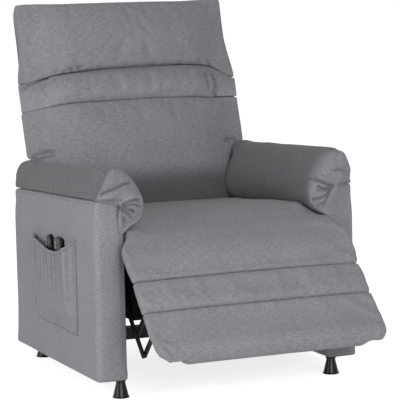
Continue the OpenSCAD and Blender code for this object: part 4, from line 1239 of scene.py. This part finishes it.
def side_pocket():
    """The elastic-topped pocket: gathered cloth with a rolled hem at its sagging mouth."""
    ys = np.linspace(POCKET_FRONT, POCKET_REAR, POCKET_COLUMNS)
    corner = 1 - smooth(POCKET_REAR - ys, 0, 40)
    outer, inner = [], []
    for share in np.linspace(0, 1, POCKET_ROWS):
        x, y, z = pocket_place(ys, np.full(POCKET_COLUMNS, share))
        z = z + 34 * corner ** 2 * (1 - share) ** 3
        outer.append(np.stack([x, y, z], 1))
        inner.append(np.stack([np.minimum(x + 1.6, 1.4 - POCKET_FACE), y, z], 1))
    obj = sheet_piece("side_pocket_cloth", outer + inner, POCKET_COLUMNS)

    def shade(p):
        across = (p[:, 1] - POCKET_FRONT) / (POCKET_REAR - POCKET_FRONT)
        share = np.clip((p[:, 2] - POCKET_BOTTOM) / 235, 0, 1)
        edge = np.minimum(np.minimum(p[:, 1] - POCKET_FRONT, POCKET_REAR - p[:, 1]), p[:, 2] - POCKET_BOTTOM)
        valley = (1 - pleat_at(across, share)) ** 2 * smooth(share, 0.3, 0.95)
        # Painted shade along the pocket's sewn edges and in the valleys between its gathers.
        return 1.05 - 0.22 * (1 - smooth(edge, 0, 8)) - 0.26 * valley

    tone_and_painted_shade(obj, shade)
    finish(obj, "woven_fabric", "base", ["side_pocket"])
    return obj


def circle(sides):
    """The cosine and sine at each of a ring's corners."""
    turns = [2 * math.pi * k / sides for k in range(sides)]
    return [(math.cos(turn), math.sin(turn)) for turn in turns]


def pocket_hem():
    """The rolled hem at the pocket's mouth: a puckered tube along the mouth, closed at both ends."""
    ys = np.linspace(POCKET_FRONT + 1, POCKET_REAR - 1, POCKET_COLUMNS)
    x, y, z = pocket_place(ys, np.ones(POCKET_COLUMNS))
    path = np.stack([np.minimum(x + 0.4, -POCKET_FACE - 2), y, z - 1.5], 1)
    radius, sides, gather, waves = 4.4, 12, 0.16, 1.3
    tangent = np.gradient(path, axis=0)
    tangent /= np.maximum(np.linalg.norm(tangent, axis=1, keepdims=True), 1e-9)
    points = []
    for i, (p, t) in enumerate(zip(path, tangent)):
        side = np.cross(t, [0.3, 0.2, 0.93])
        side /= np.linalg.norm(side)
        up = np.cross(side, t)
        r = radius * (1 + gather * math.sin(waves * i)) * (0.5 if i in (0, len(path) - 1) else 1)
        points += [p + r * (c * side + s * up) for c, s in circle(sides)]
    n = len(points)
    quads = grid_quads(len(path), sides, wrap=True)
    quads += [list(range(sides)), list(range(n - 1, n - sides - 1, -1))]
    layout = [[v // sides * 4.0, v % sides * 3.0] for q in quads for v in q]
    obj = make("side_pocket_hem", np.array(points), quads, layout)
    outward(obj)
    tone_and_painted_shade(obj, 1.06)
    finish(obj, "woven_fabric", "base")


def handset(label, dome, lean):
    """A hand control: a moulded case with a soft top edge and a sunk key panel."""
    case = label + "_handset_case"
    low, high = node_box(case)
    centre, half = (low + high) / 2, (high - low) / 2

    def shape(p):
        q = p.copy()
        top = smooth(p[:, 2], half[2] - 34, half[2])
        narrow = 1 - dome * top ** 2 * np.abs(p[:, 1] / half[1]) ** 2
        q[:, 2] = -half[2] + (p[:, 2] + half[2]) * narrow
        q[:, 1] = np.clip(p[:, 1] + lean * top * half[1] * 0.2, -half[1], half[1])
        q[:, 0] = p[:, 0] * (1 - 0.10 * (np.abs(p[:, 1]) / half[1]) ** 4)
        panel = (np.abs(p[:, 1] - 2) < 18) & (p[:, 2] > half[2] - 62) & (p[:, 0] < -half[0] * 0.9)
        q[:, 0] = q[:, 0] + np.where(panel, 0.5, 0)
        return q + centre

    obj = block_piece(label + "_handset_body", half, 5.5, 3.2, shape)
    refine(obj)
    finish(obj, "black_plastic", label + "_handset", [case])


def key_cap(label, action):
    """A push button with round edges and a dished top."""
    button = label + "_handset_" + action + "_button"
    low, high = node_box(button)
    centre, half = (low + high) / 2, (high - low) / 2

    def shape(p):
        q = p.copy()
        edge = np.maximum(np.abs(p[:, 1]) / half[1], np.abs(p[:, 2]) / half[2])
        q[:, 0] = p[:, 0] + np.where(p[:, 0] < -half[0] * 0.7, 0.45 * (1 - edge ** 2), 0)
        return q + centre

    obj = block_piece(button.replace("_button", "_key"), half, 1.4, 0.9, shape)
    finish(obj, "grey_plastic", label + "_" + action, [button])


# Feet, rivets and stitches: the profiles are (radius, height) pairs

FOOT_PROFILE = [(20, 0), (23.2, 0), (24.3, 1.0), (24.5, 2.4), (24.0, 3.4), (22.6, 3.9), (22.2, 4.6),
                (21.9, 6.0), (18.4, 20.5), (14.9, 35), (13.1, 43), (12.9, 44.6), (14.6, 45.2),
                (15.2, 46), (15.2, 49), (14.4, 50)]
STUD_PROFILE = [(3.6, 49), (4, 50), (4, 74), (3.2, 75)]
FOOT_RADIUS = 24.5


def lathe(profile, x, y, sides):
    """The points and faces of a turned piece that stands at x and y."""
    points = [[x + r * c, y + r * s, z] for r, z in profile for c, s in circle(sides)]
    last = len(points) - sides
    return points, [*grid_quads(len(profile), sides, wrap=True), list(range(sides))[::-1],
                    [last + k for k in range(sides)]]


def feet(node_name, name):
    """A pair of turned conical feet, each with a glide at the floor and a collar under the arm."""
    low, high = node_box(node_name)
    x, y = high[0] - FOOT_RADIUS, (low[1] + high[1]) / 2
    points, quads = [], []
    for profile, sides in ((FOOT_PROFILE, 48), (STUD_PROFILE, 24)):
        for s in SIDES:
            turned, faces = lathe(profile, s * x, y, sides)
            quads += [[v + len(points) for v in face] for face in faces]
            points += turned
    obj = make(name, np.array(points), quads)
    mark_sharp(obj, 40)
    finish(obj, "gloss_black_plastic", "base", [node_name])


def rivet(name, centre, direction, body):
    """A low domed rivet head, drawn across the chair at a pivot."""
    radius, height, steps, sides = 7, 2.6, 5, 20
    points = []
    for i in range(steps):
        a = math.pi / 2 * i / steps
        r, h = radius * math.cos(a), height * math.sin(a)
        points += [[centre[0] + direction * h, centre[1] + r * c, centre[2] + r * s]
                   for c, s in circle(sides)]
    top = len(points)
    points.append([centre[0] + direction * height, centre[1], centre[2]])
    rim = top - sides
    quads = [*grid_quads(steps, sides, wrap=True),
             *([rim + k, rim + (k + 1) % sides, top] for k in range(sides)), list(range(sides))[::-1]]
    obj = make(name, np.array(points), quads)
    outward(obj)
    finish(obj, "bright_steel", body)


STITCH_PITCH, STITCH_LENGTH, STITCH_RADIUS, STITCH_LIFT = 7.0, 4.6, 0.55, 0.15


def stitch_rows(name, base, paths, body):
    """Rows of thread stitches laid on a piece's surface along paths in mm."""
    tree = BVHTree.FromPolygons([v.co for v in base.data.vertices],
                                [p.vertices[:] for p in base.data.polygons])
    points, quads = [], []
    for path in paths:
        run = run_along(path)
        for middle in np.arange(STITCH_PITCH, run[-1] - STITCH_PITCH, STITCH_PITCH):
            ends = []
            for t in (middle - STITCH_LENGTH / 2, middle, middle + STITCH_LENGTH / 2):
                p = np.array([np.interp(t, run, path[:, k]) for k in range(3)])
                hit, normal, *_ = tree.find_nearest(Vector(row(p)))
                ends.append((unrow(hit), np.array(normal)))
            forward = ends[2][0] - ends[0][0]
            forward = forward / max(np.linalg.norm(forward), 1e-9)
            start = len(points)
            for (p, n), thin, arch in zip(ends, (0.55, 1, 0.55), (0.0, 0.35, 0.0)):
                side = np.cross(forward, n)
                r = STITCH_RADIUS * thin
                h = STITCH_LIFT + arch
                points += [p + n * (h + r * 0.7 * up) + side * r * out for out, up in circle(6)]
            quads += [[start + v for v in face] for face in grid_quads(3, 6, wrap=True)]
            quads += [[start + k for k in range(6)][::-1], [start + 12 + k for k in range(6)]]
    finish(make(name, np.array(points), quads), "woven_fabric", body, (), THREAD)


# Building

STAINED = ("seat_front_rail", "seat_rear_rail", "left_back_post", "right_back_post", "back_top_rail",
           "back_bottom_rail")
for part in frame["record"]["subparts"]:
    cad_piece = frame["nodes"][part["node"]]
    cad_piece.data.materials.clear()
    cad_piece.data.materials.append(STAINED_TIMBER if part["node"] in STAINED
                                    else SLOT_FINISH[part["material_slot"]])

covers = {s: arm_cover(s) for s in SIDES}
pads = {s: arm_pad(s) for s in SIDES}
seat = seat_cover()
band, finish_band = footrest_panel("chaise_band", SEAM_ONE + 0.5, SEAM_TWO - 0.5, BAND_TOP,
                                   band_width, "chaise_band_pad", 31)
lower, finish_lower = footrest_panel("chaise_lower_panel", SEAM_TWO + 0.5, REACH - 1, LOWER_TOP,
                                     lower_width, "chaise_lower_pad", 37, end_roll=True)
lumbar = back_cushion("lumbar_cover", lambda x: -24 + 0 * x, lambda x: low_seam(x) - 0.2,
                      [(-24, 62), (40, 88), (130, 116), (235, 126), (310, 121), (376, 104)],
                      lumbar_width, r=22, full=2.6, cheeks_from=228)
neck = back_cushion("neck_cover", lambda x: low_seam(x) + 0.2, lambda x: high_seam(x) - 0.2,
                    [(376, 96), (428, 112), (479, 100)], full_width, r=24, full=3.2)
head = back_cushion("head_cover", lambda x: high_seam(x) + 0.2, top_edge,
                    [(480, 116), (540, 126), (600, 118), (660, 96), (704, 78)], full_width, r=20, full=2.6)
run_cloth()

for s in SIDES:
    finish_pad(pads[s], s)
finish_seat(seat)
for s in SIDES:
    skirt(s)
finish_band()
finish_lower()
finish_back(lumbar, "lumbar_cushion", LUMBAR_FOLDS, 41, foot_shade=0.58)
finish_back(neck, "neck_roll", NECK_FOLDS, 45, lightness=1.02, top_shade=0.24)
finish_back(head, "head_cushion", HEAD_FOLDS, 51)
outer_back = rear_panel()
top_strip()
pocket = side_pocket()
pocket_hem()
for label, dome, lean in (("front", 0.03, 0.0), ("rear", 0.16, -1.0)):
    handset(label, dome, lean)
    for action in ("raise", "lower"):
        key_cap(label, action)
feet("front_feet", "front_turned_feet")
feet("rear_feet", "rear_turned_feet")
lining()

# Rivet heads on the pivots of the link chain
LINK_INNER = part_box("right_front_link")[0].x / MM
for s in SIDES:
    for spot in ("_front_link", "_middle_link"):
        link_name = SIDE_NAME[s] + spot
        rivet(link_name + "_rivet", [s * LINK_INNER, *pivot(link_name + "_swing")], -s, link_name)


def footrest_row(u):
    """A path across the footrest, at a distance from the knee."""
    return from_footrest(line([-330, u, 24], [330, u, 24], 90))


stitch_rows("band_stitches", band, [footrest_row(SEAM_ONE + 6), footrest_row(SEAM_TWO - 6)], "footrest")
stitch_rows("lower_stitches", lower, [footrest_row(SEAM_TWO + 6)], "footrest")
stitch_rows("pocket_stitches", pocket,
            [line([-406, y0, z0], [-406, y1, z1]) for y0, z0, y1, z1 in
             ((POCKET_FRONT + 4, 166, POCKET_FRONT + 4, 430), (POCKET_FRONT + 9, 166, POCKET_FRONT + 9, 424),
              (POCKET_REAR - 4, 200, POCKET_REAR - 4, 408), (POCKET_REAR - 9, 192, POCKET_REAR - 9, 406),
              (POCKET_FRONT + 6, 165, POCKET_REAR - 44, 165),
              (POCKET_FRONT + 6, 170, POCKET_REAR - 46, 170))], "base")
for s in SIDES:
    rear_top = ARM_TOP - 8 - ARM_DEPTH * ARM_FALL
    stitch_rows(SIDE_NAME[s] + "_arm_stitches", covers[s],
                [line([s * (ARM_IN + 17), -5, 80], [s * (ARM_IN + 18), -5, 470]),
                 line([s * (ARM_OUT + 3), 30, ARM_TOP - 10], [s * (ARM_OUT + 3), ARM_DEPTH - 20, rear_top])],
                "base")
stitch_rows("outer_back_stitches", outer_back,
            [*(from_back(line([x, 82, -40], [x, 82, 690], 80)) for x in (-5, 5)),
             from_back(line([-306, 82, 236], [306, 82, 236]))], "back")


# Floor, light and camera

PALE = (0.86, 0.86, 0.86, 1)
WHITE = (1, 1, 1, 1)
FLOOR_GLOW, WORLD_LIGHT = 0.76, 0.34
CAMERA_PLACE = (-2.31836, -5.53631, 1.24468)
CAMERA_TURN = (23.123, 7.016, -1.328)
CAMERA_LENS = 182.83


def seen_directly(tree):
    """1 where a ray comes from the camera, a mirror or clear glass, and 0 where it only lights."""
    rays = tree.nodes.new("ShaderNodeLightPath").outputs
    seen = combine(tree, "MAXIMUM", rays["Is Camera Ray"], rays["Is Glossy Ray"])
    return combine(tree, "MAXIMUM", seen, rays["Is Transmission Ray"])


def stage():
    bpy.ops.mesh.primitive_plane_add(size=60, location=(0, 0, 0))
    floor = bpy.context.object
    floor.name = "floor"
    material, tree, shader = nodes_for("pale_floor")
    shader.inputs["Base Color"].default_value = PALE
    shader.inputs["Roughness"].default_value = 0.9
    shader.inputs["Specular IOR Level"].default_value = 0.1
    glow = node(tree, "Emission", "Emission", {"Color": WHITE},
                {"Strength": combine(tree, "MULTIPLY", seen_directly(tree), FLOOR_GLOW)})
    both = node(tree, "AddShader", "Shader", links={0: shader.outputs["BSDF"], 1: glow})
    tree.links.new(both, tree.nodes["Material Output"].inputs["Surface"])
    floor.data.materials.append(material)

    world = bpy.data.worlds.new("studio")
    bpy.context.scene.world = world
    world.use_nodes = True
    background = world.node_tree.nodes["Background"]
    background.inputs["Color"].default_value = WHITE
    strength = ramp(world.node_tree, seen_directly(world.node_tree), 0, 1, WORLD_LIGHT, 1.0)
    world.node_tree.links.new(strength, background.inputs["Strength"])


def lamp(name, place, target, size, power):
    data = bpy.data.lights.new(name, "AREA")
    data.shape = "DISK"
    data.size = size
    data.energy = power
    obj = bpy.data.objects.new(name, data)
    obj.location = place
    obj.rotation_mode = "QUATERNION"
    obj.rotation_quaternion = (Vector(target) - Vector(place)).to_track_quat("-Z", "Y")
    bpy.context.scene.collection.objects.link(obj)


def camera():
    yaw, pitch, roll = (math.radians(angle) for angle in CAMERA_TURN)
    forward = Vector((math.sin(yaw) * math.cos(pitch), math.cos(yaw) * math.cos(pitch), -math.sin(pitch)))
    across = Vector((math.cos(yaw), -math.sin(yaw), 0))
    up = across.cross(forward)
    turned_across = across * math.cos(roll) + up * math.sin(roll)
    turned_up = up * math.cos(roll) - across * math.sin(roll)
    data = bpy.data.cameras.new("camera")
    data.lens = CAMERA_LENS
    data.sensor_width = 36
    data.clip_start, data.clip_end = 0.1, 100
    obj = bpy.data.objects.new("camera", data)
    basis = Matrix((turned_across, turned_up, -forward)).transposed()
    obj.matrix_world = Matrix.Translation(CAMERA_PLACE) @ basis.to_4x4()
    bpy.context.scene.collection.objects.link(obj)
    bpy.context.scene.camera = obj


stage()
lamp("key_lamp", (-1.0, -5.0, 1.7), (0, -0.1, 0.5), size=3.0, power=170)
lamp("side_lamp", (-4.6, -0.8, 1.5), (0, 0.0, 0.4), size=2.6, power=84)
camera()
bpy.context.scene.view_settings.view_transform = "Standard"
